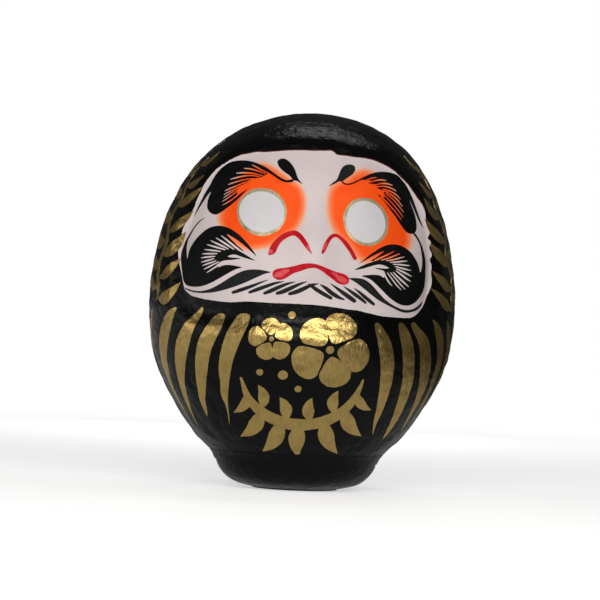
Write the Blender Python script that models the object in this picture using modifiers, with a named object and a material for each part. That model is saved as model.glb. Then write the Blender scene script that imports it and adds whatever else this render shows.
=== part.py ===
# Daruma doll, a size-5 papier-mache tumbler with a clay weight in its foot.
#
# Frame: metres, +Z up, origin on the resting face below the middle of the
# body. The doll faces -Y and its right and left flanks are on -X and +X.
# The shell is turned from one profile, pressed a little flat front to back,
# and split down the flanks into a front and a rear moulding.

import math
import bpy
import bmesh
from mathutils import Vector
from mathutils.geometry import intersect_point_line

MM = 0.001

# ---- driving dimensions, millimetres ---------------------------------------
HEIGHT = 240.0            # crown above the resting face
DEPTH_RATIO = 0.94        # front-to-back size over width
WALL = 2.2                # papier-mache wall
GAP = 0.3                 # play between neighbouring pieces
CROWN_LEAN = 3.4          # how far the crown leans towards +X
LEAN_FROM = 150.0         # height where that lean starts

FRONT_STEPS = 64          # facets of the front moulding, all the way round
REAR_STEPS = 40
FOOT_STEPS = 40
CLAY_STEPS = 30

STRIP_OUT_WIDTH = 14.0    # pasted paper over the joint
STRIP_OUT_THICK = 0.35
STRIP_IN_WIDTH = 24.0     # pasted paper behind the joint
STRIP_IN_THICK = 0.5

STICK_HOLE_R = 5.0        # hole in the foot for the dipping stick
BASE_PAPER_R = 27.0
BASE_PAPER_THICK = 0.4

# Half width and height of the body, crown to lip.
BODY_PROFILE = [
    (0.0, HEIGHT), (16.1, 238.6), (33.2, 234.0), (46.0, 228.2), (60.3, 218.2),
    (69.9, 207.8), (77.2, 197.6), (82.6, 187.2), (90.3, 166.6), (94.8, 146.0),
    (97.4, 125.5), (96.8, 105.0), (93.7, 84.5), (85.4, 64.0), (72.8, 43.5),
    (65.2, 33.5), (56.4, 24.3),
]

# Outside of the foot, from under the lip down to its flat bottom.
FOOT_PROFILE = [
    (52.3, 24.0), (51.7, 19.0), (49.0, 13.0), (45.7, 8.0), (40.4, 4.2),
    (33.5, 1.9), (28.5, 0.7),
]

# Rim of the sunken face: angle round from the front in degrees, and height.
FACE_RIM = [
    (-54, 196), (-48, 203), (-40, 208), (-20, 211), (0, 212.5), (14, 211),
    (28, 208.5), (40, 204), (50, 192), (56, 178), (57, 160), (56, 143),
    (52, 125), (45, 107.5), (34, 103), (18, 105.5), (0, 107.5), (-20, 108),
    (-38, 109.5), (-49, 113.5), (-54, 127), (-57, 145), (-58.5, 160),
    (-57.5, 174), (-56, 186),
]
FACE_SUNK_TOP = 4.2       # depth of the face below the hood
FACE_SUNK_FOOT = 4.2      # and behind the collar of the robe
ROLL_TOP = 9.0            # width of the rolled hood edge
ROLL_FOOT = 13.0          # width of the rolled robe edge

# Mouldings on the face: angle, height, height of the bump, half widths.
FACE_BUMPS = [
    (1.0, 149.0, 5.5, 10.0, 10.0),     # nose
    (1.0, 163.0, 2.4, 6.0, 14.0),      # its bridge
    (-20.7, 172.0, 1.3, 11.0, 11.0),   # eyes
    (21.2, 168.7, 1.3, 11.0, 11.0),
    (-24.0, 192.0, 1.4, 20.0, 6.5),    # brows
    (25.0, 189.0, 1.4, 20.0, 6.5),
    (-41.0, 143.0, 2.2, 14.0, 13.0),   # cheeks
    (42.0, 137.0, 2.2, 14.0, 13.0),
    (0.5, 136.0, 1.6, 18.0, 5.0),      # lips
]


# ---- shape functions --------------------------------------------------------
def smooth(t):
    t = min(1.0, max(0.0, t))
    return t * t * (3.0 - 2.0 * t)


def spline(points, per_span, closed=False):
    """Centripetal Catmull-Rom through the points."""
    pts = [Vector((p[0], p[1])) for p in points]
    if closed:
        ctrl = [pts[-1]] + pts + [pts[0], pts[1]]
    else:
        first = 2 * pts[0] - pts[1]
        if abs(pts[0].x) < 1e-9:
            first = Vector((-pts[1].x, pts[1].y))
        ctrl = [first] + pts + [2 * pts[-1] - pts[-2]]
    out = []
    for i in range(len(ctrl) - 3):
        p0, p1, p2, p3 = ctrl[i:i + 4]
        t0 = 0.0
        t1 = t0 + math.sqrt((p1 - p0).length)
        t2 = t1 + math.sqrt((p2 - p1).length)
        t3 = t2 + math.sqrt((p3 - p2).length)
        for k in range(per_span):
            t = t1 + (t2 - t1) * k / per_span
            a1 = p0 * ((t1 - t) / (t1 - t0)) + p1 * ((t - t0) / (t1 - t0))
            a2 = p1 * ((t2 - t) / (t2 - t1)) + p2 * ((t - t1) / (t2 - t1))
            a3 = p2 * ((t3 - t) / (t3 - t2)) + p3 * ((t - t2) / (t3 - t2))
            b1 = a1 * ((t2 - t) / (t2 - t0)) + a2 * ((t - t0) / (t2 - t0))
            b2 = a2 * ((t3 - t) / (t3 - t1)) + a3 * ((t - t1) / (t3 - t1))
            out.append(b1 * ((t2 - t) / (t2 - t1)) + b2 * ((t - t1) / (t2 - t1)))
    if not closed:
        out.append(pts[-1])
    return [(v.x, v.y) for v in out]


def radius_at(profile, z):
    """Radius of a profile that runs downwards, at height z."""
    for (r0, z0), (r1, z1) in zip(profile, profile[1:]):
        if z1 <= z <= z0:
            return r0 + (r1 - r0) * (z0 - z) / (z0 - z1)
    return profile[-1][0]


def inset(profile, distance):
    """The profile moved inwards, square to itself."""
    out = []
    for i, (r, z) in enumerate(profile):
        a = Vector(profile[max(0, i - 1)])
        b = Vector(profile[min(len(profile) - 1, i + 1)])
        run = (b - a).normalized()
        normal = Vector((-run.y, run.x))
        out.append((r - normal.x * distance, z - normal.y * distance))
    return out


def lean(z):
    return CROWN_LEAN * min(1.1, max(0.0, (z - LEAN_FROM) / 84.0)) ** 2


FACE_LOOP = spline(FACE_RIM, 4, closed=True)
ARC = math.pi / 180.0 * 92.0      # millimetres of arc per degree on the face


def face_distance(angle, z):
    """Distance inside the face rim, in millimetres; negative outside."""
    p = Vector((angle * ARC, z))
    best = 1e9
    inside = False
    n = len(FACE_LOOP)
    for i in range(n):
        ax, az = FACE_LOOP[i][0] * ARC, FACE_LOOP[i][1]
        bx, bz = FACE_LOOP[(i + 1) % n][0] * ARC, FACE_LOOP[(i + 1) % n][1]
        if (az > z) != (bz > z) and p.x < (bx - ax) * (z - az) / (bz - az) + ax:
            inside = not inside
        a, b = Vector((ax, az)), Vector((bx, bz))
        q, t = intersect_point_line(p, a, b)
        q = a if t < 0 else b if t > 1 else Vector((q[0], q[1]))
        best = min(best, (p - q).length)
    return best if inside else -best


def face_sink(angle, z):
    """How far the face lies below the turned surface at a point."""
    if abs(angle) > 75 or z < 90 or z > 232:
        return 0.0
    d = face_distance(angle, z)
    top = smooth((z - 110.0) / 90.0)
    roll = ROLL_FOOT + (ROLL_TOP - ROLL_FOOT) * top
    sunk = FACE_SUNK_FOOT + (FACE_SUNK_TOP - FACE_SUNK_FOOT) * top
    depth = sunk * smooth((d + roll) / (roll + 2.0))
    if d > 0:
        fade = smooth(d / 7.0)
        for a, h, height, wa, wh in FACE_BUMPS:
            q = ((angle - a) * ARC / wa) ** 2 + ((z - h) / wh) ** 2
            depth -= fade * height * math.exp(-0.5 * q)
    return depth


# ---- building helpers ---------------------------------------------------------
for old in list(bpy.data.objects):
    bpy.data.objects.remove(old, do_unlink=True)

parts = bpy.data.collections.new("daruma_doll")
tools = bpy.data.collections.new("cutters")
bpy.context.scene.collection.children.link(parts)
bpy.context.scene.collection.children.link(tools)


def material(name, colour, roughness, metallic=0.0):
    mat = bpy.data.materials.new(name)
    mat.use_nodes = True
    shader = mat.node_tree.nodes["Principled BSDF"]
    shader.inputs["Base Color"].default_value = (*colour, 1.0)
    shader.inputs["Roughness"].default_value = roughness
    shader.inputs["Metallic"].default_value = metallic
    mat.diffuse_color = (*colour, 1.0)
    return mat


def turned(name, profile, steps, closed=False):
    """A profile in millimetres, revolved with a Screw modifier."""
    bm = bmesh.new()
    verts = [bm.verts.new((r * MM, 0.0, z * MM)) for r, z in profile]
    for a, b in zip(verts, verts[1:]):
        bm.edges.new((a, b))
    if closed:
        bm.edges.new((verts[-1], verts[0]))
    mesh = bpy.data.meshes.new(name + "_profile")
    bm.to_mesh(mesh)
    bm.free()
    obj = bpy.data.objects.new(name + "_profile", mesh)
    parts.objects.link(obj)
    screw = obj.modifiers.new("turn", "SCREW")
    screw.axis = "Z"
    screw.angle = 2.0 * math.pi
    screw.steps = steps
    screw.render_steps = steps
    screw.use_merge_vertices = True
    screw.merge_threshold = 0.00001
    bpy.context.view_layer.update()
    depsgraph = bpy.context.evaluated_depsgraph_get()
    turned_mesh = bpy.data.meshes.new_from_object(obj.evaluated_get(depsgraph))
    turned_mesh.name = name
    bpy.data.objects.remove(obj, do_unlink=True)
    bm = bmesh.new()
    bm.from_mesh(turned_mesh)
    bmesh.ops.remove_doubles(bm, verts=bm.verts, dist=0.000001)
    bmesh.ops.recalc_face_normals(bm, faces=bm.faces)
    if closed is False:
        crown = max(bm.faces, key=lambda f: f.calc_center_median().z)
        if crown.normal.z < 0:
            bmesh.ops.reverse_faces(bm, faces=bm.faces)
    bm.to_mesh(turned_mesh)
    bm.free()
    return turned_mesh


def pressed(mesh, sunk_face=False):
    """Turned work pressed to the body's depth, its crown leaned, its face sunk."""
    for v in mesh.vertices:
        x, y, z = v.co.x / MM, v.co.y / MM, v.co.z / MM
        r = math.hypot(x, y)
        if sunk_face and r > 1.0 and y < 0.0:
            angle = math.degrees(math.atan2(x, -y))
            s = (r - face_sink(angle, z)) / r
            x, y = x * s, y * s
        v.co = ((x + lean(z)) * MM, y * DEPTH_RATIO * MM, z * MM)
    mesh.update()
    return mesh


def part(name, mesh, mat):
    obj = bpy.data.objects.new(name, mesh)
    parts.objects.link(obj)
    mesh.materials.clear()
    mesh.materials.append(mat)
    mesh.shade_smooth()
    mesh.set_sharp_from_angle(angle=math.radians(40.0))
    return obj


def cutter(name, low, high):
    bpy.ops.mesh.primitive_cube_add(size=1.0)
    obj = bpy.context.object
    obj.name = name
    for c in list(obj.users_collection):
        c.objects.unlink(obj)
    tools.objects.link(obj)
    obj.location = [(a + b) / 2.0 * MM for a, b in zip(low, high)]
    obj.scale = [(b - a) * MM for a, b in zip(low, high)]
    obj.display_type = "WIRE"
    obj.hide_render = True
    return obj


def solidify(obj, thickness, offset):
    mod = obj.modifiers.new("wall", "SOLIDIFY")
    mod.thickness = thickness * MM
    mod.offset = offset
    mod.use_even_offset = False
    mod.use_rim = True
    return mod


def cut(obj, tool):
    mod = obj.modifiers.new("joint", "BOOLEAN")
    mod.operation = "DIFFERENCE"
    mod.solver = "EXACT"
    mod.object = tool
    return mod


lacquer = material("black_lacquer", (0.006, 0.006, 0.006), 0.32)
washi = material("pasted_washi", (0.006, 0.006, 0.006), 0.38)
kraft = material("raw_paper", (0.46, 0.38, 0.27), 0.9)
clay = material("dried_clay", (0.36, 0.24, 0.15), 0.95)
label = material("black_paper", (0.012, 0.012, 0.012), 0.8)

# ---- the shell: front and rear mouldings --------------------------------------
body = spline(BODY_PROFILE, 2)
body = body[:8:2] + body[8:]        # the flat crown needs half the rings

behind = cutter("behind_the_joint", (-150, -GAP / 2, -20), (150, 150, 280))
before = cutter("before_the_joint", (-150, -150, -20), (150, GAP / 2, 280))

front = part("shell_front", pressed(turned("shell_front", body, FRONT_STEPS), True), lacquer)
solidify(front, WALL, -1.0)
cut(front, behind)

rear = part("shell_rear", pressed(turned("shell_rear", body, REAR_STEPS)), lacquer)
solidify(rear, WALL, -1.0)
cut(rear, before)


# ---- paper strips pasted over and behind the joint ----------------------------
def strip(name, profile, width, thick, outwards, mat):
    mesh = pressed(turned(name, profile, FRONT_STEPS))
    bm = bmesh.new()
    bm.from_mesh(mesh)
    for side in (-1, 1):
        bmesh.ops.bisect_plane(
            bm, geom=bm.verts[:] + bm.edges[:] + bm.faces[:], dist=1e-7,
            plane_co=(0, side * width / 2 * MM, 0), plane_no=(0, side, 0),
            clear_outer=True)
    bm.to_mesh(mesh)
    bm.free()
    obj = part(name, mesh, mat)
    push = obj.modifiers.new("stand_off", "DISPLACE")
    push.direction = "NORMAL"
    push.mid_level = 0.0
    push.strength = GAP * MM if outwards else -(WALL + 0.55) * MM
    solidify(obj, thick, 1.0 if outwards else -1.0)
    return obj


strip("seam_strip_outer", body[:-1], STRIP_OUT_WIDTH, STRIP_OUT_THICK, True, washi)
strip("seam_strip_inner", body[:-5], STRIP_IN_WIDTH, STRIP_IN_THICK, False, kraft)

# ---- foot: a moulded cup whose neck is glued inside the shell ------------------
foot = FOOT_PROFILE
neck = [p for p in body if 25.0 < p[1] < 34.5]
neck_out = inset(neck, WALL + 0.45)
neck_in = inset(neck, WALL + 0.45 + 2.2)
cup_inside = [
    (50.0, 24.6), (49.1, 19.4), (46.5, 14.2), (43.3, 9.9), (38.4, 6.4),
    (31.5, 4.1), (27.0, 3.2), (STICK_HOLE_R, 3.2),
]
cup = neck_out + [(52.7, 25.0)] + foot + [(STICK_HOLE_R, 0.7)]
cup += list(reversed(cup_inside))
cup += list(reversed(neck_in))
part("foot_cup", pressed(turned("foot_cup", cup, FOOT_STEPS, closed=True)), lacquer)

# ---- clay weight cast in the foot ----------------------------------------------
weight = [
    (STICK_HOLE_R + 0.4, 19.4), (30.0, 19.0), (44.0, 18.2), (46.6, 17.2),
    (45.7, 14.4), (42.6, 10.2), (37.8, 6.8), (31.2, 4.5), (26.9, 3.6),
    (STICK_HOLE_R + 0.4, 3.6),
]
part("ballast_weight", pressed(turned("ballast_weight", weight, CLAY_STEPS, closed=True)), clay)

# ---- paper collar that fills the step between shell and foot --------------------
collar = [
    (55.8, 23.95), (54.9, 22.4), (53.5, 20.2), (52.3, 18.0),
    (radius_at(foot, 18.0) + 0.35, 18.0), (radius_at(foot, 21.0) + 0.35, 21.0),
    (radius_at(foot, 23.9) + 0.35, 23.95),
]
part("collar_strip", pressed(turned("collar_strip", collar, FOOT_STEPS, closed=True)), washi)

# ---- paper disc under the foot ----------------------------------------------------
bpy.ops.mesh.primitive_cylinder_add(
    vertices=48, radius=BASE_PAPER_R * MM, depth=BASE_PAPER_THICK * MM,
    location=(0.0, 0.0, BASE_PAPER_THICK / 2 * MM))
disc = bpy.context.object
disc.name = "base_paper"
for c in list(disc.users_collection):
    c.objects.unlink(disc)
parts.objects.link(disc)
disc.scale = (1.0, DEPTH_RATIO, 1.0)
disc.data.materials.append(label)
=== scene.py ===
# Looks for the daruma doll: lacquered papier-mache body, painted face, gold
# brushwork. Everything is built on one set of shape functions, in millimetres,
# and turned into metres when a mesh is made.
import math

import bmesh
import bpy
import numpy as np
from mathutils import Matrix, Vector
from mathutils.geometry import delaunay_2d_cdt


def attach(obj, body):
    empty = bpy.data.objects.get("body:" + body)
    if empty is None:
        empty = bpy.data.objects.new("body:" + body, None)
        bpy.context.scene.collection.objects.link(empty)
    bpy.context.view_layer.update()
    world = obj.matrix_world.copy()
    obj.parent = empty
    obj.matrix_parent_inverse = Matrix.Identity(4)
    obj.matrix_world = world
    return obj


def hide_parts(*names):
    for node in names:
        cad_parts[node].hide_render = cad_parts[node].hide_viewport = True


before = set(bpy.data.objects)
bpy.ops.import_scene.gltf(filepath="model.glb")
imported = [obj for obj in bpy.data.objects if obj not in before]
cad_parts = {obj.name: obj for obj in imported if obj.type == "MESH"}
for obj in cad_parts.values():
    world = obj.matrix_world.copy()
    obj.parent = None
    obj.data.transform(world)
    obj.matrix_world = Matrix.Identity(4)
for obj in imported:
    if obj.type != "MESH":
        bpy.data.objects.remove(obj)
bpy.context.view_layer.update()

# ---------------------------------------------------------------------------
# Shape of the body, as in the CAD model
# ---------------------------------------------------------------------------
DEPTH = 0.94
WALL = 2.2
BODY = [
    (0.0, 240.0), (16.1, 238.6), (33.2, 234.0), (46.0, 228.2), (60.3, 218.2),
    (69.9, 207.8), (77.2, 197.6), (82.6, 187.2), (90.3, 166.6), (94.8, 146.0),
    (97.4, 125.5), (96.8, 105.0), (93.7, 84.5), (85.4, 64.0), (72.8, 43.5),
    (65.2, 33.5), (56.4, 24.3),
]
FACE_RIM = [
    (-54, 196), (-48, 203), (-40, 208), (-20, 211), (0, 212.5), (14, 211),
    (28, 208.5), (40, 204), (50, 192), (56, 178), (57, 160), (56, 143),
    (52, 125), (45, 107.5), (34, 103), (18, 105.5), (0, 107.5), (-20, 108),
    (-38, 109.5), (-49, 113.5), (-54, 127), (-57, 145), (-58.5, 160),
    (-57.5, 174), (-56, 186),
]
FACE_BUMPS = [
    (1.0, 149.0, 5.5, 10.0, 10.0), (1.0, 163.0, 2.4, 6.0, 14.0),
    (-20.7, 172.0, 1.3, 11.0, 11.0), (21.2, 168.7, 1.3, 11.0, 11.0),
    (-24.0, 192.0, 1.4, 20.0, 6.5), (25.0, 189.0, 1.4, 20.0, 6.5),
    (-41.0, 143.0, 2.2, 14.0, 13.0), (42.0, 137.0, 2.2, 14.0, 13.0),
    (0.5, 136.0, 1.6, 18.0, 5.0),
]
ARC = math.pi / 180.0 * 92.0
U0 = 90.0                      # the painting's own scale: millimetres per radian


def smooth(t):
    t = np.clip(t, 0.0, 1.0)
    return t * t * (3.0 - 2.0 * t)


def spline(points, per_span, closed=False):
    """Centripetal Catmull-Rom; returns an array."""
    p = np.array(points, float)
    if closed:
        c = np.vstack([p[-1:], p, p[:2]])
    else:
        first = 2 * p[0] - p[1]
        if abs(p[0][0]) < 1e-9 and p.shape[1] == 2 and p[0][1] > 200:
            first = np.array([-p[1][0], p[1][1]])
        c = np.vstack([first[None], p, (2 * p[-1] - p[-2])[None]])
    out = []
    for i in range(len(c) - 3):
        p0, p1, p2, p3 = c[i:i + 4]
        t1 = max(1e-4, np.linalg.norm(p1 - p0)) ** 0.5
        t2 = t1 + max(1e-4, np.linalg.norm(p2 - p1)) ** 0.5
        t3 = t2 + max(1e-4, np.linalg.norm(p3 - p2)) ** 0.5
        t = np.linspace(t1, t2, per_span, endpoint=False)[:, None]
        a1 = (t1 - t) / t1 * p0 + t / t1 * p1
        a2 = (t2 - t) / (t2 - t1) * p1 + (t - t1) / (t2 - t1) * p2
        a3 = (t3 - t) / (t3 - t2) * p2 + (t - t2) / (t3 - t2) * p3
        b1 = (t2 - t) / t2 * a1 + t / t2 * a2
        b2 = (t3 - t) / (t3 - t1) * a2 + (t - t1) / (t3 - t1) * a3
        out.append((t2 - t) / (t2 - t1) * b1 + (t - t1) / (t2 - t1) * b2)
    if not closed:
        out.append(p[-1:])
    return np.vstack(out)


_prof = spline(BODY, 24)
_step = np.hypot(*np.diff(_prof, axis=0).T)
PS = np.concatenate([[0.0], np.cumsum(_step)])       # arc length from the crown
PR, PZ = _prof[:, 0], _prof[:, 1]
_tan = np.gradient(_prof, PS, axis=0)
_tan /= np.linalg.norm(_tan, axis=1)[:, None]
PNR, PNZ = -_tan[:, 1], _tan[:, 0]
LIP = PS[-1]


def s_of_z(z):
    return np.interp(z, PZ[::-1], PS[::-1])


def lean(z):
    return 3.4 * np.clip((z - 150.0) / 84.0, 0.0, 1.1) ** 2


def inside(px, py, loop):
    """Even-odd test of many points against a closed loop."""
    hit = np.zeros(px.shape, bool)
    x0, y0 = loop[:, 0], loop[:, 1]
    x1, y1 = np.roll(x0, -1), np.roll(y0, -1)
    for a, b, c, d in zip(x0, y0, x1, y1):
        if b == d:
            continue
        hit ^= ((b > py) != (d > py)) & (px < (c - a) * (py - b) / (d - b) + a)
    return hit


def loop_distance(px, py, loop):
    """Distance to a closed loop, positive inside it."""
    best = np.full(px.shape, 1e18)
    n = len(loop)
    for i in range(n):
        ax, ay = loop[i]
        bx, by = loop[(i + 1) % n]
        dx, dy = bx - ax, by - ay
        ll = dx * dx + dy * dy + 1e-12
        t = np.clip(((px - ax) * dx + (py - ay) * dy) / ll, 0, 1)
        best = np.minimum(best, (px - ax - t * dx) ** 2 + (py - ay - t * dy) ** 2)
    d = np.sqrt(best)
    return np.where(inside(px, py, loop), d, -d)


# Depth of the sunken face, tabulated over angle and height.
TA = np.arange(-80.0, 80.01, 0.5)
TZ = np.arange(78.25, 234.01, 0.75)
_ga, _gz = np.meshgrid(TA, TZ, indexing="ij")
_rim = spline(FACE_RIM, 5, closed=True) * np.array([ARC, 1.0])
_d = loop_distance(_ga * ARC, _gz, _rim)
_top = smooth((_gz - 110.0) / 90.0)
_roll = 13.0 + (9.0 - 13.0) * _top
_sunk = 4.2 + (4.2 - 4.2) * _top
SINK = _sunk * smooth((_d + _roll) / (_roll + 2.0))
_fade = smooth(_d / 7.0)
for a, h, up, wa, wh in FACE_BUMPS:
    SINK -= _fade * up * np.exp(-0.5 * (((_ga - a) * ARC / wa) ** 2 + ((_gz - h) / wh) ** 2))
SINK *= smooth((80.0 - np.abs(_ga)) / 4.0)
FACE_IN = smooth((_d + 1.0) / 5.0)


def table(tab, angle, z):
    fa = np.clip((angle - TA[0]) / 0.5, 0, len(TA) - 1.001)
    fz = np.clip((z - TZ[0]) / 0.75, 0, len(TZ) - 1.001)
    i, j = fa.astype(int), fz.astype(int)
    u, v = fa - i, fz - j
    val = (tab[i, j] * (1 - u) * (1 - v) + tab[i + 1, j] * u * (1 - v)
           + tab[i, j + 1] * (1 - u) * v + tab[i + 1, j + 1] * u * v)
    return np.where((np.abs(angle) < 80) & (z > TZ[0]) & (z < TZ[-1]), val, 0.0)


# ---------------------------------------------------------------------------
# Noise, for the crumples that pasted paper leaves under the lacquer
# ---------------------------------------------------------------------------
_rng = np.random.RandomState(11)
_perm = np.tile(_rng.permutation(256), 3)
_grad = _rng.normal(size=(256, 3))
_grad /= np.linalg.norm(_grad, axis=1)[:, None]


def noise(p):
    """Gradient noise of an (n, 3) array, about -1 to 1."""
    i = np.floor(p).astype(int)
    f = p - i
    w = f * f * f * (f * (f * 6 - 15) + 10)
    i &= 255
    total = 0.0
    for dx in (0, 1):
        for dy in (0, 1):
            for dz in (0, 1):
                g = _grad[_perm[_perm[_perm[i[:, 0] + dx] + i[:, 1] + dy] + i[:, 2] + dz]]
                d = ((f - (dx, dy, dz)) * g).sum(1)
                total = total + d * (w[:, 0] if dx else 1 - w[:, 0]) * \
                    (w[:, 1] if dy else 1 - w[:, 1]) * (w[:, 2] if dz else 1 - w[:, 2])
    return total * 1.6


def crumple(p):
    """Height of the pasted paper's folds and facets, millimetres."""
    warp = np.stack([noise(p / 23.0 + 7.1), noise(p / 23.0 + 31.7), noise(p / 23.0 + 55.3)], 1)
    q = p + warp * 6.0
    facets = np.abs(noise(q / 19.0)) * 2.0 - 0.55
    folds = 1.0 - np.abs(noise(q * (1.0, 1.0, 1.25) / 10.0 + 3.3)) * 2.2
    fine = noise(q / 5.2 + 9.9)
    return 0.30 * facets + 0.16 * np.clip(folds, -1, 1) + 0.045 * fine


STRIP_H = 0.42


def strip_height(y):
    return STRIP_H * smooth((7.3 - np.abs(y)) / 1.8)


def surface(angle, s, lift=0.0, with_strip=True, rough=1.0):
    """Points in metres on the lacquered body: angle round from the front in
    degrees, s down from the crown in millimetres."""
    angle, s = np.broadcast_arrays(np.asarray(angle, float), np.asarray(s, float))
    shape = angle.shape
    angle, s = angle.ravel(), s.ravel()
    lift = np.broadcast_to(lift, shape).ravel()
    r, z = np.interp(s, PS, PR), np.interp(s, PS, PZ)
    nr, nz = np.interp(s, PS, PNR), np.interp(s, PS, PNZ)
    th = np.radians(angle)
    sn, cs = np.sin(th), -np.cos(th)
    wrapped = (angle + 180.0) % 360.0 - 180.0
    r2 = r - table(SINK, wrapped, z)
    base = np.stack([r2 * sn, r2 * cs, z], 1)
    amount = rough * (1.0 - 0.72 * table(FACE_IN, wrapped, z))
    amount = amount * smooth((LIP - s) / 7.0 + 0.25)
    h = crumple(base) * amount + lift
    if with_strip:
        h = h + strip_height(base[:, 1] * DEPTH) * smooth((LIP - 6.0 - s) / 5.0)
    out = base + np.stack([nr * sn, nr * cs, nz], 1) * h[:, None]
    out[:, 0] += lean(out[:, 2])
    out[:, 1] *= DEPTH
    return (out * 0.001).reshape(shape + (3,))


# ---------------------------------------------------------------------------
# The drawing plane: outlines are drawn square-on from the viewpoint, in
# millimetres right and up from the view's axis, and thrown onto the body.
# ---------------------------------------------------------------------------
EYE_DIST, EYE_AZ, EYE_Z, EYE_ROLL = 1600.0, -3.0, 100.0, 2.4
AIM = np.array([0.0, 0.0, 120.3])
_az = math.radians(EYE_AZ)
EYE = np.array([math.sin(_az) * EYE_DIST, -math.cos(_az) * EYE_DIST, EYE_Z])
FWD = AIM - EYE
AIM_DIST = float(np.linalg.norm(FWD))
FWD /= AIM_DIST
_right = np.cross(FWD, [0, 0, 1.0])
_right /= np.linalg.norm(_right)
_up = np.cross(_right, FWD)
_ro = math.radians(EYE_ROLL)
RIGHT = _right * math.cos(_ro) + _up * math.sin(_ro)
UP = _up * math.cos(_ro) - _right * math.sin(_ro)


def throw(points):
    """Drawing-plane points to (angle, s) on the body."""
    pts = np.asarray(points, float)
    d = FWD * AIM_DIST + RIGHT * pts[:, :1] + UP * pts[:, 1:2]
    d /= np.linalg.norm(d, axis=1)[:, None]

    def gap(t):
        q = EYE + d * t[:, None]
        x, y, z = q[:, 0] - lean(q[:, 2]), q[:, 1] / DEPTH, q[:, 2]
        rad = np.hypot(x, y)
        a = np.degrees(np.arctan2(x, -y))
        return rad - (np.interp(z, PZ[::-1], PR[::-1], right=0.0) - table(SINK, a, z)), a, z

    steps = np.linspace(1450.0, 1625.0, 176)
    lo = np.full(len(pts), steps[-1])
    best = np.full(len(pts), 1e9)
    t_best = np.full(len(pts), steps[-1])
    found = np.zeros(len(pts), bool)
    for t in steps:
        g = gap(np.full(len(pts), t))[0]
        new = (g <= 0) & ~found
        lo[new] = t - 1.0
        found |= new
        better = g < best
        best[better], t_best[better] = g[better], t
    a, b = lo.copy(), lo + 1.0
    for _ in range(24):
        m = (a + b) / 2
        out = gap(m)[0] > 0
        a[out], b[~out] = m[out], m[~out]
    t = np.where(found, (a + b) / 2, t_best)
    _, ang, z = gap(t)
    return np.stack([ang, s_of_z(z)], 1)


def to_plane(xyz_mm):
    """Points on the body back to the drawing plane."""
    d = np.asarray(xyz_mm) - EYE
    depth = d @ FWD
    return np.stack([AIM_DIST * (d @ RIGHT) / depth, AIM_DIST * (d @ UP) / depth], 1)


# ---------------------------------------------------------------------------
# Mesh helpers
# ---------------------------------------------------------------------------
def make(name, verts, faces, mat, smooth_shade=True):
    mesh = bpy.data.meshes.new(name)
    mesh.from_pydata(np.asarray(verts).tolist(), [], faces)
    mesh.update()
    obj = bpy.data.objects.new(name, mesh)
    bpy.context.scene.collection.objects.link(obj)
    if mat is not None:
        mesh.materials.append(mat)
    if smooth_shade:
        mesh.shade_smooth()
    return obj


def resample(loop, step):
    p = np.vstack([loop, loop[:1]])
    seg = np.hypot(*np.diff(p, axis=0).T)
    run = np.concatenate([[0], np.cumsum(seg)])
    n = max(8, int(round(run[-1] / step)))
    t = np.linspace(0, run[-1], n, endpoint=False)
    return np.stack([np.interp(t, run, p[:, 0]), np.interp(t, run, p[:, 1])], 1)


def stroke(points, widths, per=10):
    """Outline of a brush stroke: a centre line with a width at each point."""
    data = np.column_stack([np.asarray(points, float), np.asarray(widths, float)])
    c = spline(data, per)
    xy, w = c[:, :2], np.maximum(c[:, 2], 0.02)
    tan = np.gradient(xy, axis=0)
    tan /= np.linalg.norm(tan, axis=1)[:, None] + 1e-9
    nrm = np.stack([-tan[:, 1], tan[:, 0]], 1)
    left, right = xy + nrm * w[:, None] / 2, xy - nrm * w[:, None] / 2
    cap = []
    for k in range(1, 6):
        a = math.pi * k / 6
        cap.append(xy[-1] + nrm[-1] * math.cos(a) * w[-1] / 2 + tan[-1] * math.sin(a) * w[-1] / 2)
    start = []
    for k in range(1, 6):
        a = math.pi * k / 6
        start.append(xy[0] - nrm[0] * math.cos(a) * w[0] / 2 - tan[0] * math.sin(a) * w[0] / 2)
    return np.vstack([left, cap, right[::-1], start])


def ellipse(cx, cy, rx, ry, tilt, n=64):
    t = np.linspace(0, 2 * math.pi, n, endpoint=False)
    c, s = math.cos(math.radians(tilt)), math.sin(math.radians(tilt))
    x, y = rx * np.cos(t), ry * np.sin(t)
    return np.stack([cx + x * c - y * s, cy + x * s + y * c], 1)


def uv_loop(plane_loop, per=4, closed_spline=True):
    """A drawn outline, smoothed, thrown on the body and given in (u, s)."""
    loop = spline(plane_loop, per, closed=True) if closed_spline else np.asarray(plane_loop)
    a = throw(loop)
    return np.stack([np.radians(a[:, 0]) * U0, a[:, 1]], 1)


def tidy(loop):
    """Drops points that double back or coincide."""
    keep = [loop[0]]
    for p in loop[1:]:
        if np.hypot(*(p - keep[-1])) > 0.05:
            keep.append(p)
    if len(keep) > 3 and np.hypot(*(keep[0] - keep[-1])) < 0.05:
        keep.pop()
    return np.array(keep)


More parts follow.
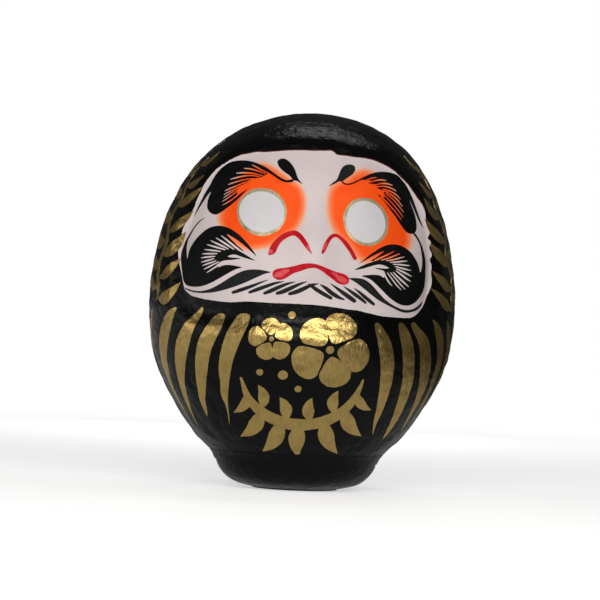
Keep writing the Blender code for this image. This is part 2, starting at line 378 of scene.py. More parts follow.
def paint(name, loops, mat, lift, thick=0.16, edge=0.7, grid=1.6, attr=None, wobble=0.0, seed=1, taper=0.0, low=0.02):
    """A film of paint laid on the body: closed outlines in (u, s), filled with
    a fine mesh that follows the crumpled surface, as a thin closed solid."""
    verts, faces, uvs = [], [], []
    for k, loop in enumerate(loops):
        loop = resample(tidy(np.asarray(loop, float)), edge)
        if wobble:
            q = np.column_stack([loop, np.full(len(loop), seed * 3.7 + k)])
            loop = loop + wobble * np.stack([noise(q / 2.3), noise(q / 2.3 + 17.0)], 1)
        lo, hi = loop.min(0), loop.max(0)
        gx = np.arange(lo[0], hi[0], grid)
        gy = np.arange(lo[1], hi[1], grid * 0.866)
        pts = np.array([(x + (grid / 2 if j % 2 else 0), y) for j, y in enumerate(gy) for x in gx]).reshape(-1, 2)
        if len(pts):
            d = loop_distance(pts[:, 0], pts[:, 1], loop)
            pts = pts[d > edge * 0.55]
        every = np.vstack([loop, pts]) if len(pts) else loop
        res = delaunay_2d_cdt([Vector(p) for p in every.tolist()], [], [list(range(len(loop)))], 1, 1e-5)
        v2 = np.array([tuple(v) for v in res[0]])
        tris = [tuple(f) for f in res[2] if len(f) >= 3]
        if not tris:
            continue
        used = sorted({i for f in tris for i in f})
        remap = {o: n for n, o in enumerate(used)}
        v2 = v2[used]
        tris = [tuple(remap[i] for i in f) for f in tris]
        ang, s = np.degrees(v2[:, 0] / U0), v2[:, 1]
        drop = 0.0
        if taper:
            drop = (lift - low) * (1.0 - smooth((loop_distance(v2[:, 0], v2[:, 1], loop) + 0.05) / taper))
        top = surface(ang, s, lift - drop)
        bottom = surface(ang, s, max(lift - thick, 0.0) - 0.01)
        base = len(verts)
        n = len(v2)
        a, b, c = (top[[f[i] for f in tris]] for i in (0, 1, 2))
        face_n = np.cross(b - a, c - a)
        mid = (a + b + c) / 3
        out = (face_n * (mid - np.array([0, 0, 0.12])) * (1, 1, 0.35)).sum(1)
        flip = out.sum() < 0
        edges = {}
        for f in tris:
            g = f[::-1] if flip else f
            faces.append(tuple(base + i for i in g))
            faces.append(tuple(base + n + i for i in g[::-1]))
            m = len(g)
            for i in range(m):
                e = (g[i], g[(i + 1) % m])
                edges[e] = edges.get(e, 0) + 1
        for (i, j) in edges:
            if (j, i) not in edges:
                faces.append((base + j, base + i, base + n + i, base + n + j))
        verts.extend(top.tolist())
        verts.extend(bottom.tolist())
        uvs.extend(v2.tolist())
        uvs.extend(v2.tolist())
    obj = make(name, verts, faces, mat)
    if not taper:
        obj.data.set_sharp_from_angle(angle=math.radians(40))
    if attr is not None:
        values = attr(np.array(verts) * 1000.0)
        layer = obj.data.attributes.new("spray", "FLOAT", "POINT")
        layer.data.foreach_set("value", values.astype(np.float32))
    uva = obj.data.attributes.new("painted", "FLOAT_VECTOR", "POINT")
    q = np.column_stack([np.array(uvs), np.zeros(len(uvs))]).astype(np.float32)
    uva.data.foreach_set("vector", q.ravel())
    return obj


def finish_piece(obj, slot_name, *nodes):
    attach(obj, "root")
    if nodes:
        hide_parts(*nodes)
    return obj


# ---------------------------------------------------------------------------
# Materials
# ---------------------------------------------------------------------------
class Mat:
    """A small wrapper for building node materials."""

    def __init__(self, name):
        self.m = bpy.data.materials.new(name)
        self.m.use_nodes = True
        self.t = self.m.node_tree
        self.bsdf = self.t.nodes["Principled BSDF"]

    def node(self, kind, **props):
        n = self.t.nodes.new(kind)
        for k, v in props.items():
            setattr(n, k, v)
        return n

    def link(self, a, b):
        self.t.links.new(a, b)

    def set(self, **kw):
        for k, v in kw.items():
            self.bsdf.inputs[k.replace("_", " ")].default_value = v

    def coords(self):
        return self.node("ShaderNodeTexCoord").outputs["Object"]

    def noise(self, vec, scale, detail=2.0, rough=0.5, distortion=0.0):
        n = self.node("ShaderNodeTexNoise")
        n.inputs["Scale"].default_value = scale
        n.inputs["Detail"].default_value = detail
        n.inputs["Roughness"].default_value = rough
        n.inputs["Distortion"].default_value = distortion
        if vec is not None:
            self.link(vec, n.inputs["Vector"])
        return n.outputs["Fac"]

    def ramp(self, fac, stops):
        n = self.node("ShaderNodeValToRGB")
        el = n.color_ramp.elements
        while len(el) < len(stops):
            el.new(0.5)
        for e, (pos, col) in zip(el, stops):
            e.position = pos
            e.color = (*col, 1.0) if len(col) == 3 else col
        self.link(fac, n.inputs["Fac"])
        return n.outputs["Color"]

    def rng(self, fac, a, b, lo=0.0, hi=1.0):
        n = self.node("ShaderNodeMapRange")
        n.inputs["From Min"].default_value = lo
        n.inputs["From Max"].default_value = hi
        n.inputs["To Min"].default_value = a
        n.inputs["To Max"].default_value = b
        self.link(fac, n.inputs["Value"])
        return n.outputs["Result"]

    def math(self, op, a, b=None):
        n = self.node("ShaderNodeMath", operation=op)
        for i, v in enumerate((a, b)):
            if v is None:
                continue
            if isinstance(v, (int, float)):
                n.inputs[i].default_value = v
            else:
                self.link(v, n.inputs[i])
        return n.outputs[0]

    def mix(self, fac, a, b):
        n = self.node("ShaderNodeMix", data_type="RGBA")
        for key, v in (("Factor", fac),):
            if isinstance(v, (int, float)):
                n.inputs[0].default_value = v
            else:
                self.link(v, n.inputs[0])
        for i, v in ((6, a), (7, b)):
            if isinstance(v, tuple):
                n.inputs[i].default_value = (*v, 1.0)
            else:
                self.link(v, n.inputs[i])
        return n.outputs[2]

    def bump(self, height, strength, distance, normal=None):
        n = self.node("ShaderNodeBump")
        n.inputs["Strength"].default_value = strength
        n.inputs["Distance"].default_value = distance
        self.link(height, n.inputs["Height"])
        if normal is not None:
            self.link(normal, n.inputs["Normal"])
        return n.outputs["Normal"]


def srgb(r, g, b):
    def f(c):
        c /= 255.0
        return c / 12.92 if c <= 0.04045 else ((c + 0.055) / 1.055) ** 2.4
    return (f(r), f(g), f(b))


def black_lacquer(name, gloss=0.22, depth=1.0):
    m = Mat(name)
    co = m.coords()
    folds = m.noise(co, 230.0, 3.0, 0.55, 0.35)
    grain = m.noise(co, 900.0, 2.0, 0.5)
    mott = m.noise(co, 60.0, 4.0, 0.6)
    m.link(m.ramp(mott, [(0.3, (0.0016, 0.0016, 0.0018)), (0.7, (0.0031, 0.0029, 0.0028))]), m.bsdf.inputs["Base Color"])
    m.link(m.rng(m.noise(co, 140.0, 3.0, 0.6), gloss - 0.06, gloss + 0.10, 0.3, 0.7), m.bsdf.inputs["Roughness"])
    n1 = m.bump(folds, 0.70 * depth, 0.0008)
    n2 = m.bump(grain, 0.18 * depth, 0.0001, n1)
    m.link(n2, m.bsdf.inputs["Normal"])
    m.set(Specular_IOR_Level=0.17)
    return m.m


def gold_paint(name, tone=(0.66, 0.455, 0.150), low=(0.44, 0.285, 0.080), rough=0.31, metal=0.96):
    m = Mat(name)
    at = m.node("ShaderNodeAttribute", attribute_name="painted").outputs["Vector"]
    mp = m.node("ShaderNodeMapping")
    m.link(at, mp.inputs["Vector"])
    mp.inputs["Scale"].default_value = (1.9, 0.22, 1.0)
    streak = m.noise(mp.outputs["Vector"], 1.0, 4.0, 0.6, 0.4)
    cloud = m.noise(at, 0.11, 3.0, 0.55)
    fleck = m.noise(m.coords(), 1500.0, 1.0, 0.5)
    base = m.ramp(m.math("ADD", m.math("MULTIPLY", streak, 0.5), m.math("MULTIPLY", cloud, 0.5)),
                  [(0.32, low), (0.48, tone), (0.64, tuple(min(1.0, c * 1.16) for c in tone))])
    m.link(base, m.bsdf.inputs["Base Color"])
    m.link(m.rng(streak, rough - 0.06, rough + 0.10, 0.3, 0.7), m.bsdf.inputs["Roughness"])
    n1 = m.bump(streak, 0.30, 0.00012)
    n2 = m.bump(m.noise(m.coords(), 240.0, 3.0, 0.5, 0.3), 0.70, 0.00085, n1)
    n3 = m.bump(fleck, 0.12, 0.00005, n2)
    m.link(n3, m.bsdf.inputs["Normal"])
    m.set(Metallic=metal)
    return m.m


def face_paint(name):
    m = Mat(name)
    co = m.coords()
    spray = m.node("ShaderNodeAttribute", attribute_name="spray").outputs["Fac"]
    speck = m.noise(co, 1400.0, 1.0, 0.5)
    edge = m.math("ADD", spray, m.math("MULTIPLY", m.math("SUBTRACT", speck, 0.5), 0.16))
    white = m.ramp(m.noise(co, 45.0, 4.0, 0.55), [(0.3, srgb(203, 189, 188)), (0.7, srgb(211, 197, 194))])
    orange = m.ramp(m.noise(co, 70.0, 3.0, 0.5), [(0.3, srgb(244, 76, 10)), (0.7, srgb(250, 88, 22))])
    haze = m.mix(m.rng(edge, 0.0, 1.0, 0.02, 0.48), white, srgb(238, 152, 100))
    m.link(m.mix(m.rng(edge, 0.0, 1.0, 0.28, 0.96), haze, orange), m.bsdf.inputs["Base Color"])
    m.link(m.rng(m.noise(co, 120.0, 3.0, 0.5), 0.50, 0.64, 0.3, 0.7), m.bsdf.inputs["Roughness"])
    n1 = m.bump(m.noise(co, 160.0, 3.0, 0.5), 0.20, 0.0003)
    n2 = m.bump(m.noise(co, 1100.0, 2.0, 0.5), 0.10, 0.00006, n1)
    m.link(n2, m.bsdf.inputs["Normal"])
    m.set(Specular_IOR_Level=0.2)
    return m.m


def flat_paint(name, dark, light, rough, spec=0.4, scale=90.0, bump=0.2, streaks=False):
    m = Mat(name)
    co = m.coords()
    if streaks:
        at = m.node("ShaderNodeAttribute", attribute_name="painted").outputs["Vector"]
        mp = m.node("ShaderNodeMapping")
        m.link(at, mp.inputs["Vector"])
        mp.inputs["Scale"].default_value = (0.5, 1.4, 1.0)
        tone = m.noise(mp.outputs["Vector"], 1.0, 4.0, 0.6, 0.5)
    else:
        tone = m.noise(co, scale, 4.0, 0.55)
    m.link(m.ramp(tone, [(0.32, dark), (0.68, light)]), m.bsdf.inputs["Base Color"])
    m.link(m.rng(m.noise(co, 200.0, 2.0, 0.5), rough - 0.05, rough + 0.08, 0.3, 0.7), m.bsdf.inputs["Roughness"])
    m.link(m.bump(m.noise(co, 500.0, 2.0, 0.5), bump, 0.0001), m.bsdf.inputs["Normal"])
    m.set(Specular_IOR_Level=spec)
    return m.m


def red_paint(name):
    """Red that thins to pink in brush streaks, with pink painted highlight spots at the ends of the mouth and the feet
    of the nostril strokes.
    """
    m = Mat(name)
    co = m.coords()
    # the "spray" attribute here carries the painted highlight spots on the red
    highlight_spot_mask = m.node("ShaderNodeAttribute", attribute_name="spray").outputs["Fac"]
    brush = m.noise(co, 900.0, 4.0, 0.65, 0.6)
    tone = m.ramp(m.noise(co, 260.0, 3.0, 0.55), [(0.3, srgb(166, 2, 18)), (0.7, srgb(194, 9, 30))])
    # pink, for the brush streaks and for the painted highlight spots
    thin = m.ramp(brush, [(0.3, srgb(192, 34, 48)), (0.7, srgb(224, 98, 102))])
    fac = m.rng(m.math("ADD", highlight_spot_mask, m.math("MULTIPLY", m.math("SUBTRACT", brush, 0.5), 0.8)), 0.0, 1.0, 0.25, 0.75)
    m.link(m.mix(fac, tone, thin), m.bsdf.inputs["Base Color"])
    m.link(m.rng(m.noise(co, 200.0, 2.0, 0.5), 0.44, 0.58, 0.3, 0.7), m.bsdf.inputs["Roughness"])
    m.link(m.bump(brush, 0.2, 0.0001), m.bsdf.inputs["Normal"])
    m.set(Specular_IOR_Level=0.2)
    return m.m


LACQUER = black_lacquer("black_lacquer")
FOOT_LACQUER = black_lacquer("foot_lacquer", 0.28, 1.2)
GOLD = gold_paint("gold_paint")
RING_GOLD = gold_paint("ring_gold", (0.54, 0.46, 0.27), (0.15, 0.12, 0.05), 0.42, 0.5)
FACE = face_paint("face_paint")
INK = flat_paint("black_ink", (0.0020, 0.0021, 0.0023), (0.0046, 0.0046, 0.0050), 0.52, 0.12, 150.0, 0.25)
# lighter grey ink: the chin hairs' own thinned ink, and a painted sheen on the right brow drop
THIN_INK_AND_SHEEN = flat_paint("thinned_ink_and_painted_sheen", (0.0060, 0.0064, 0.0068), (0.019, 0.0195, 0.0205), 0.54, 0.12, 0.0, 0.2, True)
EYE_WHITE = flat_paint("eye_white", srgb(203, 197, 198), srgb(210, 205, 205), 0.5, 0.25, 60.0, 0.12)
RED = red_paint("red_paint")
MAROON = flat_paint("undercoat_red", srgb(48, 8, 10), srgb(76, 16, 16), 0.5, 0.25)

# ---------------------------------------------------------------------------
# The body
# ---------------------------------------------------------------------------
def half_shell(name, first, last, cols, rows, clamp):
    """Outer and inner surface of one moulding, joined round the edge."""
    k = 4
    cols -= cols % k
    rows -= rows % k
    s_rows = np.linspace(0.0, LIP, rows + 1)[1:]
    ang = np.linspace(first, last, cols + 1)

    def sheet(angles, ss, lift, rough, strip):
        a, s = np.meshgrid(angles, ss, indexing="ij")
        return surface(a, s, lift, strip, rough)

    outer = sheet(ang, s_rows, 0.0, 1.0, False)
    ang_i = ang[::k]
    s_i = s_rows[k - 1::k]
    inner = sheet(ang_i, s_i, -WALL, 0.0, False)
    top_o = surface(np.array([0.0]), np.array([0.0]), 0.0, False)
    top_i = surface(np.array([0.0]), np.array([0.0]), -WALL, False, 0.0)
    co, ro = outer.shape[:2]
    ci, ri = inner.shape[:2]
    verts = np.vstack([outer.reshape(-1, 3), inner.reshape(-1, 3), top_o, top_i])
    verts[:, 1] = np.minimum(verts[:, 1], -0.00015) if clamp < 0 else np.maximum(verts[:, 1], 0.00015)

    def o(i, j):
        return i * ro + j

    def n(i, j):
        return co * ro + i * ri + j

    p_o, p_i = co * ro + ci * ri, co * ro + ci * ri + 1
    faces = []
    for i in range(co - 1):
        faces.append((p_o, o(i, 0), o(i + 1, 0)))
        for j in range(ro - 1):
            faces.append((o(i, j), o(i, j + 1), o(i + 1, j + 1), o(i + 1, j)))
    for i in range(ci - 1):
        faces.append((p_i, n(i + 1, 0), n(i, 0)))
        for j in range(ri - 1):
            faces.append((n(i, j), n(i + 1, j), n(i + 1, j + 1), n(i, j + 1)))

    def bridge(outs, ins):
        """Strip between an outer run and an inner run with k steps to one."""
        for q in range(len(ins) - 1):
            seg = outs[q * k:q * k + k + 1]
            for m in range(k // 2):
                faces.append((seg[m], ins[q], seg[m + 1]))
            faces.append((ins[q], ins[q + 1], seg[k // 2]))
            for m in range(k // 2, k):
                faces.append((seg[m], ins[q + 1], seg[m + 1]))

    bridge([o(i, ro - 1) for i in range(co)], [n(i, ri - 1) for i in range(ci)])
    bridge([p_o] + [o(0, j) for j in range(ro)], [p_i] + [n(0, j) for j in range(ri)])
    bridge(list(reversed([p_o] + [o(co - 1, j) for j in range(ro)])),
           list(reversed([p_i] + [n(ci - 1, j) for j in range(ri)])))
    obj = make(name, verts, faces, LACQUER)
    bm = bmesh.new()
    bm.from_mesh(obj.data)
    bmesh.ops.recalc_face_normals(bm, faces=bm.faces)
    bm.to_mesh(obj.data)
    bm.free()
    obj.data.set_sharp_from_angle(angle=math.radians(55))
    return obj


front = half_shell("shell_front_lacquered", -90.0, 90.0, 300, 276, -1)
finish_piece(front, "black_lacquer", "shell_front")
rear = half_shell("shell_rear_lacquered", 90.0, 270.0, 232, 220, 1)
finish_piece(rear, "black_lacquer", "shell_rear")


def joint_strip():
    """The pasted paper over the joint, feathered at both edges."""
    across = np.linspace(-7.4, 7.4, 17)
    # runs from the lip on -X, over the crown, to the lip on +X
    s_run = np.concatenate([-np.arange(LIP - 2.0, 9.0, -1.1), np.linspace(-8.0, 8.0, 15), np.arange(9.1, LIP - 2.0, 1.1)])
    top = np.zeros((len(s_run), len(across), 3))
    low = np.zeros_like(top)
    for i, s in enumerate(s_run):
        side = 1.0 if s >= 0 else -1.0
        z = np.interp(abs(s), PS, PZ)
        r = np.interp(abs(s), PS, PR)
        # plane point to polar: x from the profile, y across
        y = across / DEPTH
        x = side * np.sqrt(np.maximum(r * r - y * y, 0.0)) if r > 12 else np.full_like(y, side * r)
        rad = np.hypot(x, y)
        ang = np.degrees(np.arctan2(x, -y))
        ss = np.interp(rad, PR[:int(np.argmax(PR))], PS[:int(np.argmax(PR))]) if r <= 12 else np.full_like(y, abs(s))
        top[i] = surface(ang, ss, np.where(np.abs(across) > 7.1, -0.06, 0.012), True)
        low[i] = surface(ang, ss, 0.0, False)
    m, n = top.shape[:2]
    verts = np.vstack([top.reshape(-1, 3), low.reshape(-1, 3)])
    f = []
    for i in range(m - 1):
        for j in range(n - 1):
            a, b, c, d = i * n + j, (i + 1) * n + j, (i + 1) * n + j + 1, i * n + j + 1
            f.append((a, b, c, d))
            f.append((m * n + d, m * n + c, m * n + b, m * n + a))
    for i in range(m - 1):
        for j in (0, n - 1):
            a, b = i * n + j, (i + 1) * n + j
            f.append((a, m * n + a, m * n + b, b) if j == 0 else (b, m * n + b, m * n + a, a))
    for j in range(n - 1):
        for i in (0, m - 1):
            a, b = i * n + j, i * n + j + 1
            f.append((b, m * n + b, m * n + a, a) if i == 0 else (a, m * n + a, m * n + b, b))
    obj = make("seam_strip_lacquered", verts, f, LACQUER)
    bm = bmesh.new()
    bm.from_mesh(obj.data)
    bmesh.ops.recalc_face_normals(bm, faces=bm.faces)
    bm.to_mesh(obj.data)
    bm.free()
    return obj


finish_piece(joint_strip(), "lacquered_strip", "seam_strip_outer")


def turned(name, loop, cols, mat, amp=0.0, seed=0.0, fade=None):
    """A closed profile (r, z) turned round, with the paper's unevenness."""
    loop = np.asarray(loop)
    ang = np.linspace(0, 2 * math.pi, cols, endpoint=False)
    n = len(loop)
    tan = np.roll(loop, -1, 0) - np.roll(loop, 1, 0)
    tan /= np.linalg.norm(tan, axis=1)[:, None] + 1e-9
    nrm = np.stack([-tan[:, 1], tan[:, 0]], 1)
    a, i = np.meshgrid(ang, np.arange(n), indexing="ij")
    r, z = loop[i, 0], loop[i, 1]
    base = np.stack([r * np.sin(a), -r * np.cos(a), z], -1).reshape(-1, 3)
    h = np.zeros(len(base))
    if amp:
        h = crumple(base + seed) * amp
        if fade is not None:
            h = h * np.asarray(fade)[i].ravel()
    nn = np.stack([nrm[i, 0] * np.sin(a), -nrm[i, 0] * np.cos(a), nrm[i, 1]], -1).reshape(-1, 3)
    v = base + nn * h[:, None]
    v[:, 1] *= DEPTH
    faces = []
    for c in range(cols):
        d = (c + 1) % cols
        for j in range(n):
            k = (j + 1) % n
            faces.append((c * n + j, c * n + k, d * n + k, d * n + j))
    obj = make(name, v * 0.001, faces, mat)
    bm = bmesh.new()
    bm.from_mesh(obj.data)
    bmesh.ops.recalc_face_normals(bm, faces=bm.faces)
    bm.to_mesh(obj.data)
    bm.free()
    obj.data.set_sharp_from_angle(angle=math.radians(50))
    return obj


# Foot cup: the outside runs from under the lip to the flat bottom.
_out = spline([(52.3, 24.0), (51.9, 19.0), (49.6, 13.0), (45.9, 8.0), (40.6, 4.2), (33.5, 1.9), (28.3, 0.75)], 8)
_neck = np.stack([np.interp(s_of_z(np.array([34.0, 31.0, 28.0, 26.0])), PS, PR),
                  np.array([34.0, 31.0, 28.0, 26.0])], 1)
_nn = np.stack([np.interp(s_of_z(_neck[:, 1]), PS, PNR), np.interp(s_of_z(_neck[:, 1]), PS, PNZ)], 1)
_neck_out = _neck - _nn * 2.75
_neck_in = _neck - _nn * 4.9
_inside = spline([(50.0, 24.6), (49.1, 19.4), (46.5, 14.2), (43.3, 9.9), (38.4, 6.4), (31.5, 4.1), (27.0, 3.2)], 3)
_cup = np.vstack([_neck_out, [(52.6, 24.9)], _out, [(20.0, 0.75), (5.0, 0.75), (5.0, 3.2)], _inside[::-1], _neck_in[::-1]])
_fade = np.zeros(len(_cup))
_fade[5:5 + len(_out)] = smooth(np.linspace(0.4, 4.0, len(_out))) * smooth(np.linspace(4.0, 0.0, len(_out)))
foot = turned("foot_cup_lacquered", _cup, 240, FOOT_LACQUER, 0.8, 40.0, _fade)
finish_piece(foot, "black_lacquer", "foot_cup")

# Collar: the pasted strip that fairs the step under the lip.
_c = spline([(56.0, 24.2), (55.2, 22.9), (54.0, 21.2), (53.0, 19.2), (52.2, 17.6)], 5)
_collar = np.vstack([_c, [(51.9, 17.6), (52.2, 21.0), (52.6, 24.2)]])
_cf = np.zeros(len(_collar))
_cf[:len(_c)] = smooth(np.linspace(0.3, 3.0, len(_c))) * smooth(np.linspace(3.0, 0.4, len(_c)))
collar = turned("collar_strip_lacquered", _collar, 240, FOOT_LACQUER, 0.7, 40.0, _cf)
finish_piece(collar, "lacquered_strip", "collar_strip")

# ---------------------------------------------------------------------------
# The painting. Outlines, in millimetres on the drawing plane.
# ---------------------------------------------------------------------------
FACE_GROUND = [
    (-59.6, 78.97), (-56.71, 82.37), (-51.9, 86.54), (-45.8, 90.07), (-39.39, 93.02),
    (-33.94, 94.3), (-28.48, 95.13), (-22.07, 95.2), (-15.65, 95.84), (-9.24, 96.1),
    (-4.11, 96.35), (2.31, 96.23), (8.72, 96.03), (14.5, 95.84), (19.63, 95.71), (21.94, 93.66),
    (28.61, 92.7), (35.67, 91.54), (40.8, 90.96), (45.93, 89.75), (52.35, 86.73),
    (58.63, 82.95), (63.25, 78.71), (67.1, 74.41), (70.95, 69.41), (74.67, 64.09),
    (76.98, 60.69), (78.39, 56.07), (79.16, 51.06), (80.51, 47.21), (81.6, 43.37),
    (80.32, 40.16), (82.37, 37.21), (81.21, 34), (82.95, 29.38), (81.6, 26.04), (82.88, 22.2),
    (82.24, 17.32), (82.69, 11.61), (81.53, 7.06), (78.65, 0.13), (76.47, -5), (72.94, -8.98),
    (69.67, -10.91), (63.89, -11.03), (55.75, -10.46), (49.78, -9.75), (44.26, -8.47),
    (35.03, -6.29), (27.97, -5.52), (21.36, -4.43), (12.57, -3.21), (4.88, -2.57),
    (-7.31, -1.92), (-20.14, -1.48), (-28.48, -0.9), (-36.18, -0.51), (-45.55, -1.03),
    (-51.58, -0.64), (-57.22, 0.13), (-63.12, 1.09), (-67.87, 2.25), (-71.14, 3.21),
    (-73.39, 5.13), (-75.31, 7.44), (-76.08, 11.03), (-77.75, 18.35), (-78.97, 24.25),
    (-79.55, 30.54), (-78.9, 35.67), (-77.56, 40.03), (-76.85, 44.65), (-74.8, 49.27),
    (-72.87, 53.63), (-69.92, 58.31), (-67.93, 63.57), (-65.75, 68.51), (-62.74, 74.41),
]

BROW_L = [
    (-6.07, 77.6), (-9.9, 77.12), (-14.16, 78.98), (-18.41, 82.01), (-22.67, 85.05),
    (-27.45, 87.44), (-31.71, 88.98), (-35.97, 89.73), (-41.28, 89.57), (-45.54, 88.66),
    (-48.73, 87.07), (-51.92, 84.41), (-54.58, 81.48), (-56.98, 78.02), (-58.84, 74.3),
    (-60.97, 71.11), (-63.09, 67.39), (-65.49, 62.6), (-67.62, 58.34), (-69.37, 53.82),
    (-66.29, 58.88), (-63.63, 63.13), (-61.5, 66.32), (-59.9, 68.45), (-58.52, 69.83),
    (-59.37, 67.49), (-60.43, 64.73), (-60.97, 61.53), (-60.7, 58.88), (-59.37, 56.64),
    (-57.24, 55.42), (-55.11, 55.15), (-52.72, 56.22), (-49.8, 58.24), (-45.54, 61.53),
    (-41.82, 64.62), (-38.63, 67.81), (-35.17, 71.75), (-39.16, 68.98), (-41.82, 68.45),
    (-40.49, 72.44), (-38.09, 74.3), (-34.37, 76), (-34.37, 76.96), (-30.38, 78.29),
    (-26.39, 78.98), (-24.26, 80.15), (-22.03, 81.54), (-25.33, 82.92), (-28.52, 84.94),
    (-25.33, 83.66), (-21.07, 81.64), (-16.82, 78.82), (-13.09, 76.48), (-9.37, 75.74),
    (-5.75, 76.43),
]

TEAR_L = [
    (-15.75, 87.6), (-16.07, 88.93), (-14.95, 90.37), (-12.83, 91.06), (-10.43, 90.52),
    (-8.04, 88.66), (-5.91, 86), (-4.32, 82.81), (-3.52, 80.15), (-2.72, 78.29), (-1.12, 76.16),
    (0.42, 74.83), (-1.92, 75.74), (-3.78, 76.85), (-5.38, 76.96), (-6.6, 77.76),
    (-6.98, 78.82), (-8.31, 80.15), (-10.97, 82.01), (-13.62, 84.3), (-15.11, 86.11),
]

BROW_R = [
    (25.15, 76.56), (27.67, 75.07), (30.54, 75.19), (33.97, 76.51), (37.98, 78.51),
    (41.99, 80.52), (46, 81.95), (50.01, 82.52), (54.59, 82.23), (58.6, 81.26), (61.46, 79.83),
    (63.76, 77.25), (66.05, 73.81), (68.34, 69.8), (70.63, 65.22), (72.35, 60.64),
    (74.07, 55.49), (75.78, 50.9), (77.5, 46.32), (74.92, 50.33), (72.81, 54.91),
    (70.63, 60.07), (69.2, 63.5), (68.45, 65.79), (69.48, 61.79), (71.2, 57.2), (72.35, 53.19),
    (73.03, 49.18), (73.03, 45.75), (71.89, 43.34), (69.48, 42.77), (66.62, 43.92),
    (63.76, 47.35), (61.46, 50.9), (59.17, 54.34), (55.74, 58.92), (52.3, 63.5), (48.18, 68.2),
    (52.3, 66.08), (52.87, 67.51), (52.01, 69.52), (55.74, 69.52), (47.72, 72.1),
    (50.01, 72.95), (46.86, 73.7), (48.86, 74.39), (42.11, 75.19), (44.28, 76.56),
    (40.85, 77.14), (37.98, 77.25), (33.97, 75.42), (30.54, 74.27), (27.67, 74.21),
    (24.92, 75.88),
]

TEAR_R = [
    (17.08, 73.24), (19.54, 75.65), (21.83, 77.36), (23.09, 79.83), (24.23, 82.98),
    (25.95, 85.73), (28.24, 86.99), (31.11, 87.16), (33.28, 86.24), (33.91, 84.24),
    (32.83, 81.72), (30.54, 79.77), (27.67, 77.82), (25.38, 76.33), (23.66, 76.33),
    (21.37, 75.19), (19.08, 74.04),
]

MOUST_L = [
    (-29.32, 28.41), (-31.98, 32.45), (-35.97, 37.56), (-40.22, 41.97), (-44.48, 45.11),
    (-48.73, 47.18), (-52.99, 47.98), (-57.24, 47.5), (-60.97, 45.91), (-64.69, 42.98),
    (-67.88, 39.63), (-70.27, 36.28), (-72.03, 33.09), (-72.99, 29.9), (-73.63, 26.7),
    (-74.1, 30.43), (-74.05, 34.68), (-72.99, 38.94), (-71.07, 42.66), (-68.41, 47.18),
    (-65.49, 50.64), (-62.24, 53.09), (-65.22, 51.7), (-67.72, 49.15), (-70.38, 45.43),
    (-73.04, 41.07), (-75.49, 36.55), (-77.19, 32.02), (-77.77, 27.77), (-77.56, 21.92),
    (-76.82, 16.6), (-75.97, 12.61), (-74, 9.95), (-70.54, 8.94), (-66.29, 8.94),
    (-62.56, 9.79), (-57.24, 12.02), (-51.92, 15), (-46.6, 18.09), (-42.35, 20.22),
    (-38.73, 21.28), (-41.82, 22.08), (-45.54, 22.77), (-49.26, 22.82), (-51.92, 22.13),
    (-53.94, 21.28), (-51.92, 24.84), (-48.73, 25.53), (-44.48, 26.17), (-39.26, 26.97),
    (-42.35, 27.45), (-45.54, 27.66), (-47.88, 28.3), (-45.54, 29.31), (-42.88, 29.47),
    (-40.22, 28.51), (-35.97, 27.08), (-30.22, 25.53), (-33.31, 27.5), (-36.5, 29.47),
    (-39.16, 31.07), (-41.28, 32.34), (-37.67, 31.86), (-41.28, 35.11), (-45.01, 38.83),
    (-48.47, 42.61), (-44.48, 40.64), (-40.22, 37.77), (-35.97, 34.26), (-32.24, 30.85),
]

MOUST_R = [
    (36.15, 23.52), (38.55, 25.53), (41.99, 28.39), (46, 31.26), (50.01, 33.83), (54.02, 35.5),
    (58.03, 36.07), (62.61, 35.27), (66.62, 33.26), (70.06, 30.11), (72.35, 26.67),
    (74.18, 23.07), (75.55, 18.03), (76.53, 21.92), (76.7, 26.5), (76.07, 31.66),
    (74.92, 36.24), (72.92, 40.13), (70.74, 43.23), (72.06, 43.11), (73.61, 41.11),
    (75.78, 36.93), (77.5, 32.23), (78.65, 26.5), (78.82, 19.63), (78.59, 13.9), (77.85, 8.17),
    (75.9, 3.48), (73.49, 0.1), (70.63, -2.19), (67.19, -3.22), (63.18, -2.77), (59.17, -0.76),
    (55.16, 2.39), (51.16, 6.4), (47.15, 10.41), (43.14, 13.84), (37.87, 15.74), (41.99, 16.37),
    (46.57, 16.54), (50.01, 15.96), (52.07, 14.7), (52.87, 17.11), (52.19, 18.94),
    (49.44, 19.8), (46.34, 20.89), (50.01, 20.72), (53.45, 20.43), (55.39, 20.89),
    (52.87, 22.26), (50.01, 23.12), (47.15, 22.84), (43.71, 21.92), (39.7, 20.72),
    (36.26, 19.97), (33.4, 19.74), (37.41, 21.92), (41.99, 23.93), (46, 25.24), (43.82, 25.41),
    (47.72, 28.05), (52.42, 31.66), (48.29, 30.23), (44.28, 28.11), (40.27, 25.82),
]

STRAND_L = [
    (-75.43, 8.41), (-73.2, 7.5), (-70.01, 6.54), (-66.29, 6.12), (-62.56, 6.54),
    (-58.31, 7.87), (-54.05, 10), (-49.8, 12.66), (-45.54, 15.32), (-41.28, 17.66),
    (-37.03, 19.26), (-32.77, 19.95), (-27.45, 19.79), (-23.2, 18.99), (-20.11, 18.19),
    (-24.26, 17.08), (-29.05, 15), (-33.84, 12.82), (-39.16, 10.48), (-44.48, 8.57),
    (-49.8, 6.97), (-55.11, 5.64), (-60.43, 4.95), (-65.75, 4.84), (-70.01, 5.48),
    (-73.2, 6.54), (-75.01, 7.61),
]

STRAND_R = [
    (29.68, 14.19), (33.97, 14.47), (38.55, 13.9), (41.99, 12.18), (45.43, 9.03), (48.86, 5.02),
    (52.3, 1.3), (56.31, -1.85), (60.32, -4.14), (64.33, -5.69), (68.34, -5.97), (72.35, -4.66),
    (75.21, -2.36), (77.04, -0.3), (75.9, -3.62), (73.49, -5.92), (70.06, -7.35),
    (66.05, -7.81), (62.04, -6.77), (58.03, -4.77), (53.45, -2.48), (48.86, 0.16),
    (44.28, 3.59), (39.7, 7.32), (35.69, 10.47), (32.25, 12.76),
]

